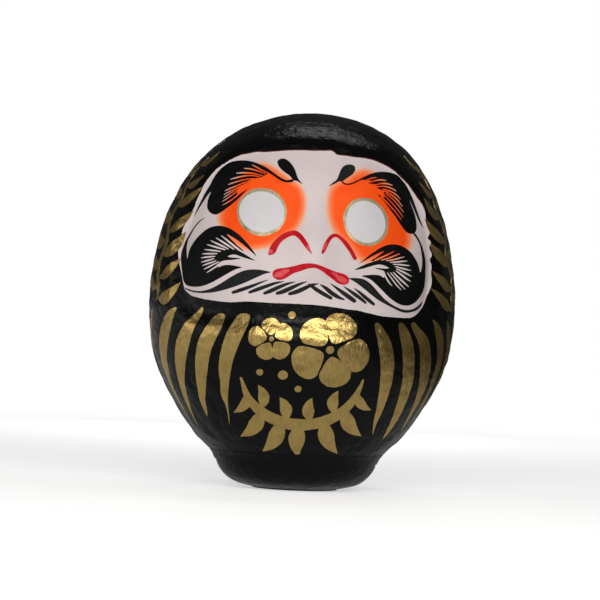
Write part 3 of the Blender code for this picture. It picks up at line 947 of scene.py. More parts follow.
NOSTRIL_L = [
    (-21.68, 29.25), (-21.3, 32.78), (-20.01, 35.54), (-17.58, 38.55), (-14.69, 41.31),
    (-10.84, 43.62), (-6.74, 44.91), (-4.11, 44.91), (-1.92, 43.75), (0.58, 41.18),
    (2.89, 37.85), (4.62, 34.38), (6.03, 29.89), (3.59, 32.08), (1.28, 34.9), (-0.9, 37.91),
    (-3.02, 40.29), (-5.07, 41.57), (-6.99, 41.51), (-10.52, 39.9), (-13.6, 37.46),
    (-15.65, 34.26), (-17.19, 30.92), (-19.12, 29.51),
]

NOSTRIL_R = [
    (12.32, 30.28), (12.83, 33.23), (13.92, 36.18), (15.46, 39), (17.38, 41.44), (19.12, 42.66),
    (21.3, 42.92), (23.22, 42.21), (25.15, 40.93), (27.65, 38.75), (29.96, 36.05),
    (31.82, 33.1), (33.49, 30.15), (34.9, 26.43), (33.36, 26.04), (31.95, 27.58),
    (30.54, 30.28), (28.74, 32.97), (26.56, 36.05), (24.25, 38.75), (22.58, 40.22),
    (21.04, 40.67), (19.37, 40.03), (17.96, 38.36), (16.68, 35.92), (15.52, 33.49),
    (14.24, 31.05), (13.34, 29.96),
]

MOUTH = [
    (-19.24, 17.19), (-18.35, 19.24), (-16.04, 20.4), (-12.12, 20.91), (-7.76, 21.55),
    (-3.72, 22.58), (0.19, 23.54), (3.14, 23.93), (5.9, 23.86), (9.37, 23.22), (12.77, 22.07),
    (16.29, 20.53), (19.63, 19.12), (23.35, 17.96), (27.07, 16.81), (29.25, 15.14),
    (30.02, 12.89), (29.38, 11.16), (27.71, 10.26), (25.79, 10.14), (23.61, 10.65),
    (21.81, 11.68), (19.76, 13.34), (17.71, 14.88), (15.4, 16.68), (12.7, 18.73), (9.75, 20.34),
    (7.83, 20.85), (5.9, 20.85), (3.59, 20.4), (1.35, 19.76), (-1.8, 18.6), (-5.13, 17.71),
    (-7.95, 16.04), (-10.46, 14.5), (-12.7, 13.47), (-15.08, 13.21), (-17.32, 13.98),
    (-18.86, 15.4),
]

SPRAY_L = [
    (-31.05, 85.7), (-25.92, 86.99), (-20.78, 85.7), (-15.01, 82.18), (-7.31, 76.72),
    (-2.18, 72.87), (0.38, 67.1), (0.77, 59.4), (-1.15, 52.35), (-4.75, 46.25), (-9.88, 42.72),
    (-14.69, 39.2), (-20.14, 35.99), (-25.92, 34.38), (-30.41, 33.74), (-34.26, 33.42),
    (-38.75, 34.71), (-43.88, 38.23), (-47.73, 42.72), (-50.94, 47.21), (-52.86, 52.35),
    (-51.58, 58.12), (-47.73, 65.18), (-45.8, 71.59), (-41.95, 77.36), (-37.46, 81.86),
]

SPRAY_R = [
    (18.67, 70.95), (22.84, 75.12), (29.25, 78.01), (34.38, 81.53), (39.52, 83.14),
    (44.65, 81.53), (51.06, 77.36), (55.55, 73.52), (59.4, 69.03), (61.97, 63.25),
    (64.21, 56.84), (67.1, 49.14), (68.7, 41.44), (68.06, 35.03), (65.18, 30.54),
    (60.04, 27.97), (52.99, 27.01), (45.29, 26.04), (40.16, 25.72), (35.99, 27.97),
    (32.46, 32.78), (28.29, 37.59), (22.84, 42.72), (19.31, 49.14), (17.38, 56.84),
    (17.38, 64.53),
]

# Fine lines of ground colour between the hairs: centre line and widths.
SLITS = [
    ([(-32.14, 86.91), (-29.05, 85.31), (-25.33, 83.24), (-22.14, 81.64)], [0.32, 0.69, 0.69, 0.32]),
    ([(-37.24, 84.78), (-33.31, 84.3), (-28.52, 83.02), (-23.73, 81.11)], [0.37, 0.85, 0.8, 0.43]),
    ([(-42.24, 81.64), (-37.56, 81.85), (-32.77, 81.64), (-29.05, 80.9), (-24.8, 79.73)], [0.37, 0.96, 0.9, 0.64, 0.43]),
    ([(-46.07, 77.71), (-41.28, 78.98), (-35.97, 79.94), (-31.71, 80.05), (-27.19, 79.3)], [0.37, 0.85, 0.85, 0.69, 0.48]),
    ([(-47.51, 74.25), (-43.41, 75.79), (-39.16, 76.96), (-34.9, 77.76), (-30.91, 78.24)], [0.32, 0.74, 0.8, 0.64, 0.43]),
    ([(-49.58, 70.26), (-46.07, 71.91), (-41.82, 73.61), (-37.56, 75.36), (-33.31, 76.59)], [0.32, 0.74, 0.8, 0.74, 0.64]),
    ([(-50.17, 67.92), (-47.14, 69.62), (-43.94, 71.11), (-39.42, 73.45)], [0.32, 0.53, 0.53, 0.53]),
    ([(-50.43, 65.9), (-47.67, 67.71), (-44.48, 69.73), (-40.65, 72.17)], [0.27, 0.48, 0.48, 0.43]),
    ([(-51.34, 63.34), (-48.2, 65.47), (-44.48, 67.92), (-40.75, 71.11)], [0.27, 0.53, 0.59, 0.74]),
    ([(-50.97, 61.16), (-47.67, 63.02), (-43.94, 65.47), (-40.22, 68.72), (-35.97, 72.44)], [0.32, 0.64, 0.74, 0.96, 1.38]),
    ([(47.26, 78.97), (44.28, 78.4), (41.13, 77.14)], [0.34, 0.74, 0.57]),
    ([(53.56, 76.96), (49.44, 77.25), (45.43, 76.56), (42.11, 75.42)], [0.4, 0.92, 0.8, 0.46]),
    ([(57.46, 73.93), (53.45, 74.96), (49.44, 74.84), (46.86, 74.1)], [0.4, 0.92, 0.8, 0.46]),
    ([(59.86, 70.32), (56.31, 72.21), (52.3, 73.24), (47.26, 73.01)], [0.4, 0.86, 0.8, 0.57]),
    ([(62.61, 65.11), (59.75, 67.97), (56.31, 69.98), (51.73, 71.41)], [0.34, 0.74, 0.8, 0.8]),
    ([(63.87, 60.35), (61.18, 63.96), (57.46, 67.4), (53.16, 69.63)], [0.34, 0.63, 0.69, 0.69]),
    ([(64.62, 56.63), (61.75, 60.53), (58.03, 64.76), (53.45, 68.49)], [0.29, 0.52, 0.57, 0.57]),
    ([(64.33, 53.65), (60.89, 58.23), (56.88, 62.93), (52.87, 67.06)], [0.29, 0.46, 0.52, 0.46]),
    ([(63.18, 51.82), (59.75, 56.52), (55.16, 61.67), (50.58, 66.37)], [0.29, 0.52, 0.69, 1.03]),
    ([(-51.92, 41.6), (-48.2, 38.73), (-44.48, 35.64), (-41.28, 33.09), (-38.09, 31.07)], [0.43, 1.06, 1.28, 1.28, 0.64]),
    ([(-55.22, 40.22), (-51.39, 37.77), (-47.67, 35.43), (-44.05, 32.98)], [0.43, 1.06, 1.17, 0.74]),
    ([(-58.63, 38.41), (-54.58, 36.49), (-50.86, 34.79), (-47.4, 33.09)], [0.43, 1.06, 1.06, 0.64]),
    ([(-60.97, 35.91), (-57.24, 34.79), (-53.52, 33.73), (-49.53, 32.66)], [0.43, 1.06, 1.06, 0.74]),
    ([(-62.67, 32.72), (-59.37, 32.34), (-56.18, 32.02), (-52.56, 31.49)], [0.43, 0.96, 0.96, 0.64]),
    ([(-64.05, 29.9), (-60.97, 30), (-57.77, 30.06), (-54.69, 30.11)], [0.43, 0.96, 0.96, 0.64]),
    ([(-64.8, 27.34), (-62.03, 27.77), (-59.1, 28.09), (-56.07, 28.35)], [0.43, 1.01, 1.01, 0.64]),
    ([(-64.69, 24.58), (-62.03, 25.32), (-59.37, 26.07), (-56.6, 26.86)], [0.43, 1.01, 0.96, 0.53]),
    ([(-63.89, 22.4), (-60.97, 23.51), (-58.04, 24.52), (-55.33, 25.53)], [0.43, 0.96, 0.9, 0.53]),
    ([(-62.93, 20.11), (-59.9, 21.6), (-56.71, 23.3), (-53.52, 24.84)], [0.43, 0.9, 0.85, 0.53]),
    ([(-61.07, 17.98), (-58.31, 19.79), (-55.65, 21.49), (-53.25, 23.25), (-50.86, 24.47), (-46.6, 25.22)], [0.43, 0.85, 1.01, 1.38, 1.81, 1.6]),
    ([(58.49, 31.43), (54.59, 29.48), (50.01, 27.36), (46.29, 25.64)], [0.4, 0.86, 0.97, 0.8]),
    ([(62.15, 30.05), (58.6, 28.57), (54.59, 27.08), (50.58, 25.93)], [0.4, 0.8, 0.8, 0.57]),
    ([(65.19, 28.05), (61.46, 27.08), (58.03, 26.16), (53.73, 25.59)], [0.4, 0.86, 0.8, 0.52]),
    ([(67.08, 25.36), (63.76, 25.13), (60.32, 24.73), (56.2, 24.5)], [0.4, 0.92, 0.86, 0.52]),
    ([(68.68, 22.38), (65.47, 22.67), (62.04, 23.07), (58.03, 23.3)], [0.4, 0.92, 0.86, 0.52]),
    ([(69.37, 19.29), (66.05, 20.09), (62.61, 21), (59.29, 21.92)], [0.4, 0.97, 0.92, 0.52]),
    ([(69.71, 15.51), (66.62, 17.22), (63.18, 18.94), (60.2, 20.43)], [0.4, 1.03, 0.97, 0.57]),
    ([(69.25, 12.18), (66.33, 14.19), (63.18, 16.65), (60.03, 19.06)], [0.4, 1.09, 1.03, 0.57]),
    ([(67.94, 8.86), (64.9, 11.61), (61.46, 14.76), (58.14, 18.14)], [0.4, 1.03, 0.97, 0.52]),
    ([(65.82, 7.14), (63.18, 9.89), (59.75, 13.9), (56.31, 17.91)], [0.34, 0.69, 0.69, 0.46]),
    ([(63.07, 6.91), (60.32, 9.89), (57.46, 13.62), (54.31, 17.91)], [0.34, 0.69, 0.69, 0.46]),
    ([(57.34, 9.43), (55.74, 11.32), (54.02, 13.9), (52.19, 17.34)], [0.34, 0.74, 0.92, 1.15]),
]

# Hairs of the beard.
HAIRS = [
    ([(-44.48, 5.21), (-40.22, 6.6), (-32.77, 9.15), (-27.45, 11.28), (-21.82, 13.3)], [1.86, 2.42, 2.05, 1.3, 0.37]),
    ([(-33.84, 5.32), (-29.58, 6.92), (-23.2, 9.15), (-17.35, 11.17), (-11.71, 12.24)], [1.68, 2.42, 2.23, 1.68, 0.37]),
    ([(-24.26, 4.68), (-20.54, 6.17), (-15.22, 8.51), (-9.9, 10.64), (-4.58, 12.02)], [1.86, 2.61, 2.42, 1.68, 0.37]),
    ([(-16.18, 4.68), (-12.56, 5.75), (-7.24, 8.09), (-1.92, 10.48), (3.13, 12.24)], [2.05, 2.79, 2.61, 1.68, 0.37]),
    ([(-8.2, 4.36), (-4.05, 5.53), (1.27, 7.82), (6.06, 10), (10.21, 10.75)], [2.05, 2.79, 2.61, 1.86, 0.56]),
    ([(18.22, 1.64), (14.5, 3.71), (9.92, 6.46), (6.48, 8.86), (4.07, 10.69)], [2.14, 2.53, 2.53, 2.14, 0.78]),
    ([(26.64, 0.61), (22.52, 2.45), (18.51, 5.02), (15.07, 7.89), (11.35, 10.35)], [0.97, 2.34, 2.73, 2.34, 0.49]),
    ([(33.28, -0.19), (30.54, 1.76), (26.53, 4.62), (22.52, 7.6), (17.93, 10.92)], [2.53, 2.92, 2.53, 1.75, 0.39]),
    ([(40.39, -1.33), (37.41, 1.19), (33.97, 3.71), (30.54, 6.17), (26.3, 9.21)], [1.56, 2.14, 2.34, 1.75, 0.39]),
    ([(45.54, -2.25), (42.56, 0.16), (39.13, 3.02), (36.26, 5.54), (33.06, 7.95)], [1.95, 2.34, 2.14, 1.56, 0.39]),
]

# Gold folds of the robe on the front.
STRIPES = [
    [(-53.18, -8.34), (-56.39, -10.26), (-59.34, -13.66), (-65.88, -23.48), (-68.45, -34.96), (-68.32, -46.38), (-67.1, -57.03), (-64.21, -67.68), (-60.62, -74.16), (-62.16, -62.74), (-61.33, -50.49), (-60.11, -39), (-57.29, -28.35), (-52.73, -19.37), (-49.65, -11.16), (-49.65, -8.85)],
    [(-40.35, -8.72), (-43.75, -12.83), (-48.69, -21.04), (-52.35, -32.46), (-53.57, -42.27), (-52.73, -52.09), (-51.96, -60.3), (-49.07, -66.84), (-46.51, -79.8), (-47.21, -70.12), (-47.66, -60.3), (-46.64, -50.49), (-44.58, -39), (-40.48, -27.58), (-36.37, -18.54), (-33.55, -11.8), (-33.61, -9.24), (-36.82, -8.21)],
    [(46.64, -14.63), (46.83, -18.86), (47.86, -24.31), (49.46, -34.13), (50.17, -43.94), (49.46, -55.36), (47.86, -66.84), (45.55, -78.33), (44.9, -85.96), (47.02, -79.93), (51.13, -70.95), (54.78, -61.13), (57.67, -50.49), (58.89, -40.67), (58.06, -31.63), (55.23, -23.48), (51.13, -16.94), (48.5, -14.24)],
    [(61.78, -14.63), (62.16, -20.21), (63.83, -30.86), (64.47, -42.27), (63.83, -52.09), (61.33, -63.57), (57.67, -75.06), (51.38, -89.17), (59.27, -79.1), (65.05, -68.45), (69.54, -57.03), (71.59, -45.55), (71.59, -34.13), (69.92, -24.31), (65.88, -16.1), (63.64, -14.11)],
]

# Eyes: centre, ring half sizes, disc half sizes, tilt.
EYES = [(-25.98, 56.84, 15.9733, 15.396, 14.562, 13.0866, -12), (40.61, 50.42, 14.0488, 15.9092, 12.1885, 13.7922, 28)]

SPRAY_BOUNDS = [(np.array(SPRAY_L), 3.1), (np.array(SPRAY_R), 3.4)]
_spray_loops = [(spline(l, 4, closed=True), w * 1.35) for l, w in SPRAY_BOUNDS]


def spray(points_mm):
    """Density of the airbrushed orange round the eyes."""
    q = to_plane(points_mm)
    out = np.zeros(len(q))
    for loop, soft in _spray_loops:
        d = loop_distance(q[:, 0], q[:, 1], loop)
        out = np.maximum(out, smooth((d + soft) / (2 * soft)))
    return out


ground = paint("face_ground", [uv_loop(FACE_GROUND, 3)], FACE, 0.13, 0.12, 0.55, 1.15, attr=spray, wobble=0.10)
finish_piece(ground, "black_lacquer")

ink_loops = [uv_loop(o, 3) for o in (BROW_L, BROW_R, MOUST_L, MOUST_R, TEAR_L)]
finish_piece(paint("brows_and_moustache", ink_loops, INK, 0.20, 0.09, 0.4, 1.2), "black_lacquer")
# the right brow drop is laid in the lighter grey ink as a painted sheen
finish_piece(paint("brow_drop_right", [uv_loop(TEAR_R, 3)], THIN_INK_AND_SHEEN, 0.18, 0.08, 0.35, 1.0), "black_lacquer")
hair_loops = [uv_loop(o, 3) for o in (STRAND_L, STRAND_R)]
hair_loops += [uv_loop(stroke(p, w), closed_spline=False) for p, w in HAIRS]
finish_piece(paint("chin_hairs", hair_loops, THIN_INK_AND_SHEEN, 0.195, 0.085, 0.35, 1.0), "black_lacquer")
slit_loops = [uv_loop(stroke(p, w), closed_spline=False) for p, w in SLITS]
finish_piece(paint("hair_lines", slit_loops, FACE, 0.245, 0.06, 0.3, 1.0, attr=spray), "black_lacquer")

red_loops = [uv_loop(o, 3) for o in (NOSTRIL_L, NOSTRIL_R, MOUTH)]
# Painted highlight spots on the red: centre, half sizes and tilt on the drawing plane.
HIGHLIGHT_SPOTS_ON_RED = [(-14.5, 16.81, 3.7, 1.9, 12.0), (-11.48, 18.6, 3.4, 1.3, 14.0), (25.4, 13.47, 3.6, 1.8, -26.0),
         (-20.53, 31.5, 1.3, 1.7, 60.0), (21.23, 16.68, 3.0, 0.9, -32.0), (4.23, 33.1, 0.8, 2.6, 25.0),
         (14.5, 35.03, 0.8, 2.8, -25.0)]


def painted_highlight_spots(points_mm):
    """Painted highlight spots on the red, at the ends of the mouth and the feet of the strokes."""
    q = to_plane(points_mm)
    out = np.zeros(len(q))
    for x, y, rx, ry, tilt in HIGHLIGHT_SPOTS_ON_RED:
        c, t = math.cos(math.radians(tilt)), math.sin(math.radians(tilt))
        dx, dy = q[:, 0] - x, q[:, 1] - y
        d = np.hypot((dx * c + dy * t) / rx, (dy * c - dx * t) / ry)
        out = np.maximum(out, 1.0 - smooth((d - 0.55) / 0.9))
    return out


# nose and mouth in red, with painted highlight spots mixed into its colour
finish_piece(paint("nose_and_mouth", red_loops, RED, 0.20, 0.09, 0.4, 0.8, attr=painted_highlight_spots), "black_lacquer")
hem = stroke(FACE_GROUND[3:27], [0.5] + [1.5] * 22 + [0.4], 3)
finish_piece(paint("face_undercoat_edge", [uv_loop(hem, closed_spline=False)], MAROON, 0.09, 0.08, 0.5, 1.2, wobble=0.2, seed=12), "black_lacquer")


eye_loops, ring_loops = [], []
for e in EYES:
    cx, cy, ox, oy, ix, iy, tilt = e
    outer = ellipse(cx, cy, ox, oy, tilt)
    wav = 0.12 * np.sin(np.linspace(0, 2 * math.pi * 7, 64, endpoint=False) + cx)
    outer = outer + (outer - (cx, cy)) / ox * wav[:, None]
    innr = ellipse(cx, cy, ix, iy, tilt)
    eye_loops.append(uv_loop(innr * 1.0, 1, False))
    ring_loops.append(uv_loop(outer, 1, False))
finish_piece(paint("eye_rings", ring_loops, RING_GOLD, 0.19, 0.08, 0.5, 1.2, wobble=0.08), "black_lacquer")
finish_piece(paint("eye_discs", eye_loops, EYE_WHITE, 0.24, 0.07, 0.5, 1.2), "black_lacquer")

stripe_loops = [uv_loop(o, 3) for o in STRIPES]
def on_body(points):
    """(angle, height) pairs to (u, s)."""
    p = np.array(points, float)
    return np.stack([np.radians(p[:, 0]) * U0, s_of_z(p[:, 1])], 1)


# The outermost folds of the front are given by angle and height.
FRONT_SIDE_FOLDS = [
    [(-44.0, 112.9), (-46.0, 110.3), (-49.4, 105), (-55, 95.4), (-58.7, 85), (-61.6, 73.8), (-64.2, 61),
     (-65.9, 49.2), (-66.9, 38.0), (-64.6, 47), (-62.2, 53.3), (-58.9, 62.9), (-54.7, 74.1), (-50.6, 85.4),
     (-46.6, 97.3), (-44.2, 106.4), (-43.4, 111.9)],
    [(44.1, 108.4), (45.2, 101.9), (47.3, 93.7), (50.8, 81.9), (53.7, 73.8), (57.4, 63.2), (60.8, 52.6),
     (64.6, 40.5), (64.7, 49.1), (63.4, 61.6), (60.9, 73.9), (57.6, 85.2), (53.6, 96.3), (48.1, 105.6),
     (45.7, 109)],
]
stripe_loops += [spline(on_body(o), 4, closed=True) for o in FRONT_SIDE_FOLDS]
stripe_loops.append(stroke(on_body([(-56.6, 111.3), (-60.6, 106), (-64.3, 98.8), (-68.3, 88.3), (-71.1, 77.9),
                                    (-72.9, 68.4), (-74.0, 54.8), (-74.2, 41)]),
                           [2.0, 8.0, 11.4, 11.8, 10.4, 8.4, 5.0, 0.4], 10))
finish_piece(paint("robe_folds_gold", stripe_loops, GOLD, 0.085, 0.08, 0.6, 1.3, wobble=0.12), "black_lacquer")


def dab(cx, cy, size, turn, fat=1.0):
    """One petal: a round brush dab that points away from the flower's middle."""
    half = [(0.20, 0.05), (0.40, 0.27), (0.64, 0.425 * fat), (0.85, 0.36 * fat), (0.985, 0.14)]
    pts = half + [(a, -b) for a, b in half[::-1]]
    c, s = math.cos(math.radians(turn)), math.sin(math.radians(turn))
    return [(cx + size * (a * c - b * s), cy + size * (a * s + b * c)) for a, b in pts]


def flower(cx, cy, size, turn, sizes=(1.0, 0.94, 1.05, 0.97, 1.02)):
    return [dab(cx, cy, size * k, turn + 72.0 * i + (2.5, -3.0, 1.0, 3.5, -2.0)[i]) for i, k in enumerate(sizes)]


def leaf(x0, y0, x1, y1, width, bend=0.12):
    """A leaf in one press of the brush: pointed, full, pointed."""
    dx, dy = x1 - x0, y1 - y0
    pts = [(x0 + dx * t - dy * bend * math.sin(math.pi * t), y0 + dy * t + dx * bend * math.sin(math.pi * t))
           for t in (0.0, 0.22, 0.45, 0.7, 1.0)]
    return stroke(pts, [width * k for k in (0.16, 0.78, 1.0, 0.72, 0.05)], 6)


# Belly: plum blossoms over a garland, in place of the good-luck characters.
petals = [uv_loop(o, 4) for o in flower(17.71, -31.69, 24.8, 62.0) + flower(-19.82, -24.63, 14.4, 24.0)]
petals += [uv_loop(ellipse(x, y, r, r * 0.92, 20.0, 22), 1, False) for x, y, r in (
    (17.71, -31.69, 2.7), (-19.82, -24.63, 1.7), (-6.67, -9.24, 2.5), (-12.45, -47.73, 3.2), (-2.82, -56.71, 2.3),
    (-27.2, -45.8, 2.3))]
finish_piece(paint("belly_blossoms_gold", petals, GOLD, 0.09, 0.085, 0.5, 1.2, wobble=0.22, seed=3), "black_lacquer")
stem = stroke([(-39.39, -49.65), (-34.9, -61.84), (-25.28, -72.1), (-10.52, -78.52), (6.16, -79.16), (22.2, -73.39), (33.1, -63.12), (38.87, -50.94)],
              [1.4, 4.4, 6.4, 7.2, 7.0, 6.4, 4.6, 1.2], 12)
finish_piece(paint("belly_garland_stem_gold", [uv_loop(stem, closed_spline=False)], GOLD, 0.085, 0.08, 0.5, 1.2, wobble=0.2, seed=4), "black_lacquer")
sprigs = [leaf(*q) for q in (
    (-34.9, -58.63, -43.88, -71.46, 6.6, 0.18), (-26.56, -70.18, -39.39, -86.86, 9.6, 0.15), (-14.37, -76.6, -25.28, -96.48, 10.4, 0.13),
    (-0.9, -79.16, -2.82, -100.33, 10.6, -0.09), (14.5, -76.6, 22.2, -97.76, 10.4, -0.13), (27.33, -68.9, 37.59, -86.86, 9.6, -0.15),
    (35.03, -59.27, 44.01, -70.18, 6.4, -0.18),
    (-25.92, -68.9, -28.48, -54.14, 7.4, -0.16), (-10.52, -76.6, -14.37, -61.84, 7.8, -0.12), (4.88, -77.24, 6.16, -62.48, 7.8, 0.12),
    (20.27, -72.1, 22.84, -57.99, 7.4, 0.14))]
finish_piece(paint("belly_garland_leaves_gold", [uv_loop(o, closed_spline=False) for o in sprigs], GOLD, 0.115, 0.11, 0.45, 1.2, wobble=0.2, seed=5), "black_lacquer")


def spray_of_leaves(side):
    """A climbing sprig on one side of the body, in (angle, height)."""
    a = 71.5
    line = [(a - 1, 208), (a + 2, 196), (a - 1, 182), (a + 3, 168), (a - 1, 153), (a + 3, 138), (a, 124), (a + 1, 117)]
    wide = [0.8, 3.2, 4.0, 4.4, 4.6, 4.6, 4.2, 1.6]
    loops = [stroke(on_body([(side * p, z) for p, z in line]), wide, 12)]
    leaves = []
    hand = np.random.RandomState(23 + side)
    for z0, near, z1, far, width in (
            (203, -6, 212, -10, 5.5), (198, 10, 209, 17, 6.5), (190, -6, 198, -12, 6.5), (183, 10, 194, 21, 8.0),
            (176, -6, 187, -13.5, 7.5), (169, 11, 180, 23, 8.5), (160, -6, 172, -14, 8.0), (153, 10, 165, 23, 8.5),
            (146, -6, 158, -14, 8.5), (139, 11, 150, 23, 8.5), (131, -6, 143, -15, 8.5), (125, 9, 136, 22, 8.0),
            (118, -6, 129, -16.5, 8.0)):
        j = hand.uniform(-1.0, 1.0, 4)
        start = on_body([(side * (a + near * 0.16), z0 + j[0] * 0.8)])[0]
        end = on_body([(side * (a + far * (0.92 + 0.07 * j[1])), z1 + 2.2 * j[2])])[0]
        bend = 0.14 + 0.05 * j[3]
        leaves.append(leaf(start[0], start[1], end[0], end[1], width * (1.0 + 0.10 * j[3]), bend if near * side > 0 else -bend))
    return loops, leaves


for side, label in ((-1, "left"), (1, "right")):
    line, leaves = spray_of_leaves(side)
    finish_piece(paint("side_sprig_stem_" + label, line, GOLD, 0.15, 0.14, 0.55, 1.3, wobble=0.2, seed=6 + side), "black_lacquer")
    finish_piece(paint("side_sprig_leaves_" + label, leaves, GOLD, 0.18, 0.17, 0.5, 1.3, wobble=0.2, seed=9 + side), "black_lacquer")

# The folds go on round both sides.
side_folds = []
for top, mid, low, wide in ((55.0, 68.2, 72.0, 10.2), (67.5, 80.4, 84.0, 9.8), (80.5, 93.4, 96.5, 9.4), (94.0, 106.0, 108.0, 8.6),
                            (-79.0, -91.5, -95.0, 9.6), (-93.0, -105.0, -107.5, 8.8)):
    turn = np.array([0.0, 0.30, 0.57, 0.80, 0.95, 1.02, 1.06])
    angle = top + (mid - top) * turn
    angle[-2:] = (mid + (low - mid) * 0.55, low)
    high = (110.5, 104.5, 97.0, 87.5, 75.0, 60.0, 44.0)
    side_folds.append(stroke(on_body(list(zip(angle, high))), [wide * k for k in (0.14, 0.66, 0.92, 1.0, 0.86, 0.52, 0.04)], 10))
finish_piece(paint("robe_folds_gold_sides", side_folds, GOLD, 0.085, 0.08, 0.6, 1.4, wobble=0.15, seed=8), "black_lacquer")


# ---------------------------------------------------------------------------
# Inside and underneath
# ---------------------------------------------------------------------------
def cad_look(node, mat):
    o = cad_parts[node]
    o.data.materials.clear()
    o.data.materials.append(mat)


raw = Mat("raw_washi")
_co = raw.coords()
raw.link(raw.ramp(raw.noise(_co, 120.0, 5.0, 0.6), [(0.3, (0.36, 0.29, 0.19)), (0.7, (0.52, 0.44, 0.31))]), raw.bsdf.inputs["Base Color"])
raw.link(raw.rng(raw.noise(_co, 300.0), 0.82, 0.95), raw.bsdf.inputs["Roughness"])
raw.link(raw.bump(raw.noise(_co, 700.0, 3.0, 0.6), 0.5, 0.0002), raw.bsdf.inputs["Normal"])
cad_look("seam_strip_inner", raw.m)
clay = Mat("dried_clay")
_co = clay.coords()
clay.link(clay.ramp(clay.noise(_co, 60.0, 6.0, 0.6), [(0.3, (0.27, 0.17, 0.10)), (0.7, (0.42, 0.29, 0.19))]), clay.bsdf.inputs["Base Color"])
clay.link(clay.rng(clay.noise(_co, 200.0), 0.85, 0.98), clay.bsdf.inputs["Roughness"])
clay.link(clay.bump(clay.noise(_co, 250.0, 5.0, 0.65), 0.6, 0.0006), clay.bsdf.inputs["Normal"])
cad_look("ballast_weight", clay.m)
paper = Mat("base_paper")
_co = paper.coords()
paper.link(paper.ramp(paper.noise(_co, 90.0, 5.0, 0.6), [(0.3, (0.010, 0.010, 0.011)), (0.7, (0.022, 0.021, 0.020))]), paper.bsdf.inputs["Base Color"])
paper.link(paper.rng(paper.noise(_co, 400.0), 0.66, 0.85), paper.bsdf.inputs["Roughness"])
paper.link(paper.bump(paper.noise(_co, 1500.0, 3.0, 0.7), 0.4, 0.0001), paper.bsdf.inputs["Normal"])
cad_look("base_paper", paper.m)

# ---------------------------------------------------------------------------
# Floor, light and camera
# ---------------------------------------------------------------------------
bm = bmesh.new()
bmesh.ops.create_circle(bm, cap_ends=True, radius=8.0, segments=96)
_mesh = bpy.data.meshes.new("floor")
bm.to_mesh(_mesh)
bm.free()
floor = bpy.data.objects.new("floor", _mesh)
bpy.context.scene.collection.objects.link(floor)
floor.location = (0, 0, -0.0003)
fm = Mat("floor_paper")
fm.link(fm.ramp(fm.noise(fm.coords(), 3.0, 3.0, 0.5), [(0.3, (0.80, 0.80, 0.79)), (0.7, (0.82, 0.82, 0.81))]), fm.bsdf.inputs["Base Color"])
fm.set(Roughness=0.9, Specular_IOR_Level=0.1)
_sep = fm.node("ShaderNodeSeparateXYZ")
fm.link(fm.coords(), _sep.inputs[0])
_rr = fm.math("SQRT", fm.math("ADD", fm.math("MULTIPLY", _sep.outputs["X"], _sep.outputs["X"]),
                              fm.math("MULTIPLY", _sep.outputs["Y"], _sep.outputs["Y"])))
_far = fm.rng(_rr, 0.0, 1.0, 0.22, 1.3)
_far.node.interpolation_type = "SMOOTHSTEP"
# Seen directly the paper sweeps up into a white ground; to everything else it
# is a dim surface, so that the underside of the doll stays dark.
_white = fm.node("ShaderNodeEmission")
_white.inputs["Color"].default_value = (1, 1, 1, 1)
_white.inputs["Strength"].default_value = 1.0
_add = fm.node("ShaderNodeAddShader")
_glow = fm.node("ShaderNodeEmission")
_glow.inputs["Strength"].default_value = 0.52
fm.link(fm.bsdf.outputs[0], _add.inputs[0])
fm.link(_glow.outputs[0], _add.inputs[1])
_seen = fm.node("ShaderNodeMixShader")
fm.link(_far, _seen.inputs[0])
fm.link(_add.outputs[0], _seen.inputs[1])
fm.link(_white.outputs[0], _seen.inputs[2])
_dim = fm.node("ShaderNodeEmission")
_dim.inputs["Color"].default_value = (1, 1, 1, 1)
_side = fm.rng(_sep.outputs["X"], 0.34, 0.03, 0.09, 0.31)
_side.node.interpolation_type = "SMOOTHSTEP"
fm.link(_side, _dim.inputs["Strength"])
_path = fm.node("ShaderNodeLightPath")
_pick = fm.node("ShaderNodeMixShader")
fm.link(_path.outputs["Is Camera Ray"], _pick.inputs[0])
fm.link(_dim.outputs[0], _pick.inputs[1])
fm.link(_seen.outputs[0], _pick.inputs[2])
fm.link(_pick.outputs[0], fm.t.nodes["Material Output"].inputs["Surface"])
floor.data.materials.append(fm.m)


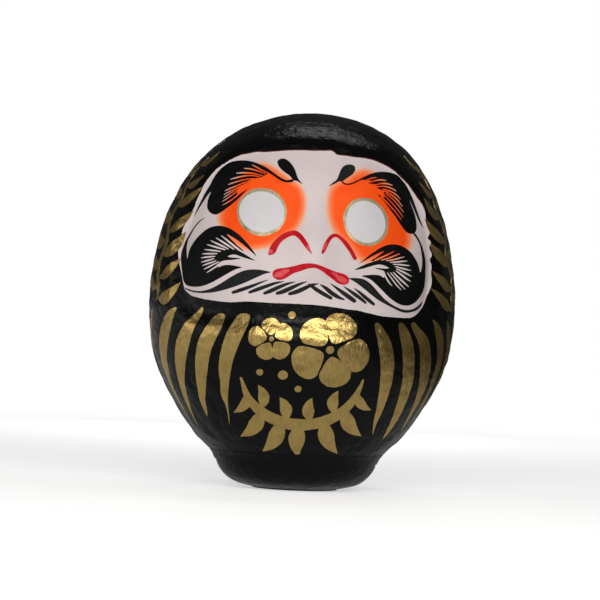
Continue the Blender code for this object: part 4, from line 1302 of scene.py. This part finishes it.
def area(name, loc, aim, size, power, colour=(1, 1, 1), size_y=None):
    light = bpy.data.lights.new(name, "AREA")
    light.energy = power
    light.color = colour
    light.size = size
    if size_y:
        light.shape = "RECTANGLE"
        light.size_y = size_y
    obj = bpy.data.objects.new(name, light)
    bpy.context.scene.collection.objects.link(obj)
    obj.location = loc
    obj.rotation_euler = (Vector(aim) - Vector(loc)).to_track_quat("-Z", "Y").to_euler()
    return obj


area("key", (0.0, -1.53, 0.58), (0, 0, 0.12), 1.7, 14.0, size_y=0.60)
# The same window again for the matt paint only, so the gilding isn't burnt out.
fill = area("key_fill", (0.0, -1.53, 0.60), (0, 0, 0.12), 1.9, 12.4, size_y=0.60)
fill.visible_glossy = False
area("back_top", (0.19, 0.42, 1.32), (0, 0, 0.22), 0.80, 1.9, size_y=0.24)
area("back", (0.0, 1.00, 0.24), (0, 0, 0.12), 0.30, 1.6, size_y=0.30)
area("left", (-1.48, -0.30, 0.13), (0, 0, 0.10), 1.3, 3.2, size_y=0.8)

world = bpy.data.worlds.new("studio")
bpy.context.scene.world = world
world.use_nodes = True
_wt = world.node_tree
_bg = _wt.nodes["Background"]
_bg.inputs["Color"].default_value = (1.0, 1.0, 1.0, 1)
_lp = _wt.nodes.new("ShaderNodeLightPath")
_mr = _wt.nodes.new("ShaderNodeMapRange")
_mr.inputs["To Min"].default_value = 0.055
_mr.inputs["To Max"].default_value = 1.0
_wt.links.new(_lp.outputs["Is Camera Ray"], _mr.inputs["Value"])
_wt.links.new(_mr.outputs["Result"], _bg.inputs["Strength"])

cam_data = bpy.data.cameras.new("camera")
cam = bpy.data.objects.new("camera", cam_data)
bpy.context.scene.collection.objects.link(cam)
rot = Matrix((RIGHT, UP, -FWD)).transposed()
cam.matrix_world = Matrix.Translation(Vector(EYE * 0.001)) @ rot.to_4x4()
cam_data.sensor_width = 36.0
cam_data.lens = AIM_DIST / 0.6415 / 600.0 * 36.0
cam_data.shift_x = -2.4 / 600.0
cam_data.shift_y = 0.6 / 600.0
cam_data.clip_start = 0.05
cam_data.clip_end = 50.0
bpy.context.scene.camera = cam
bpy.context.scene.view_settings.view_transform = "Standard"

bpy.context.view_layer.update()
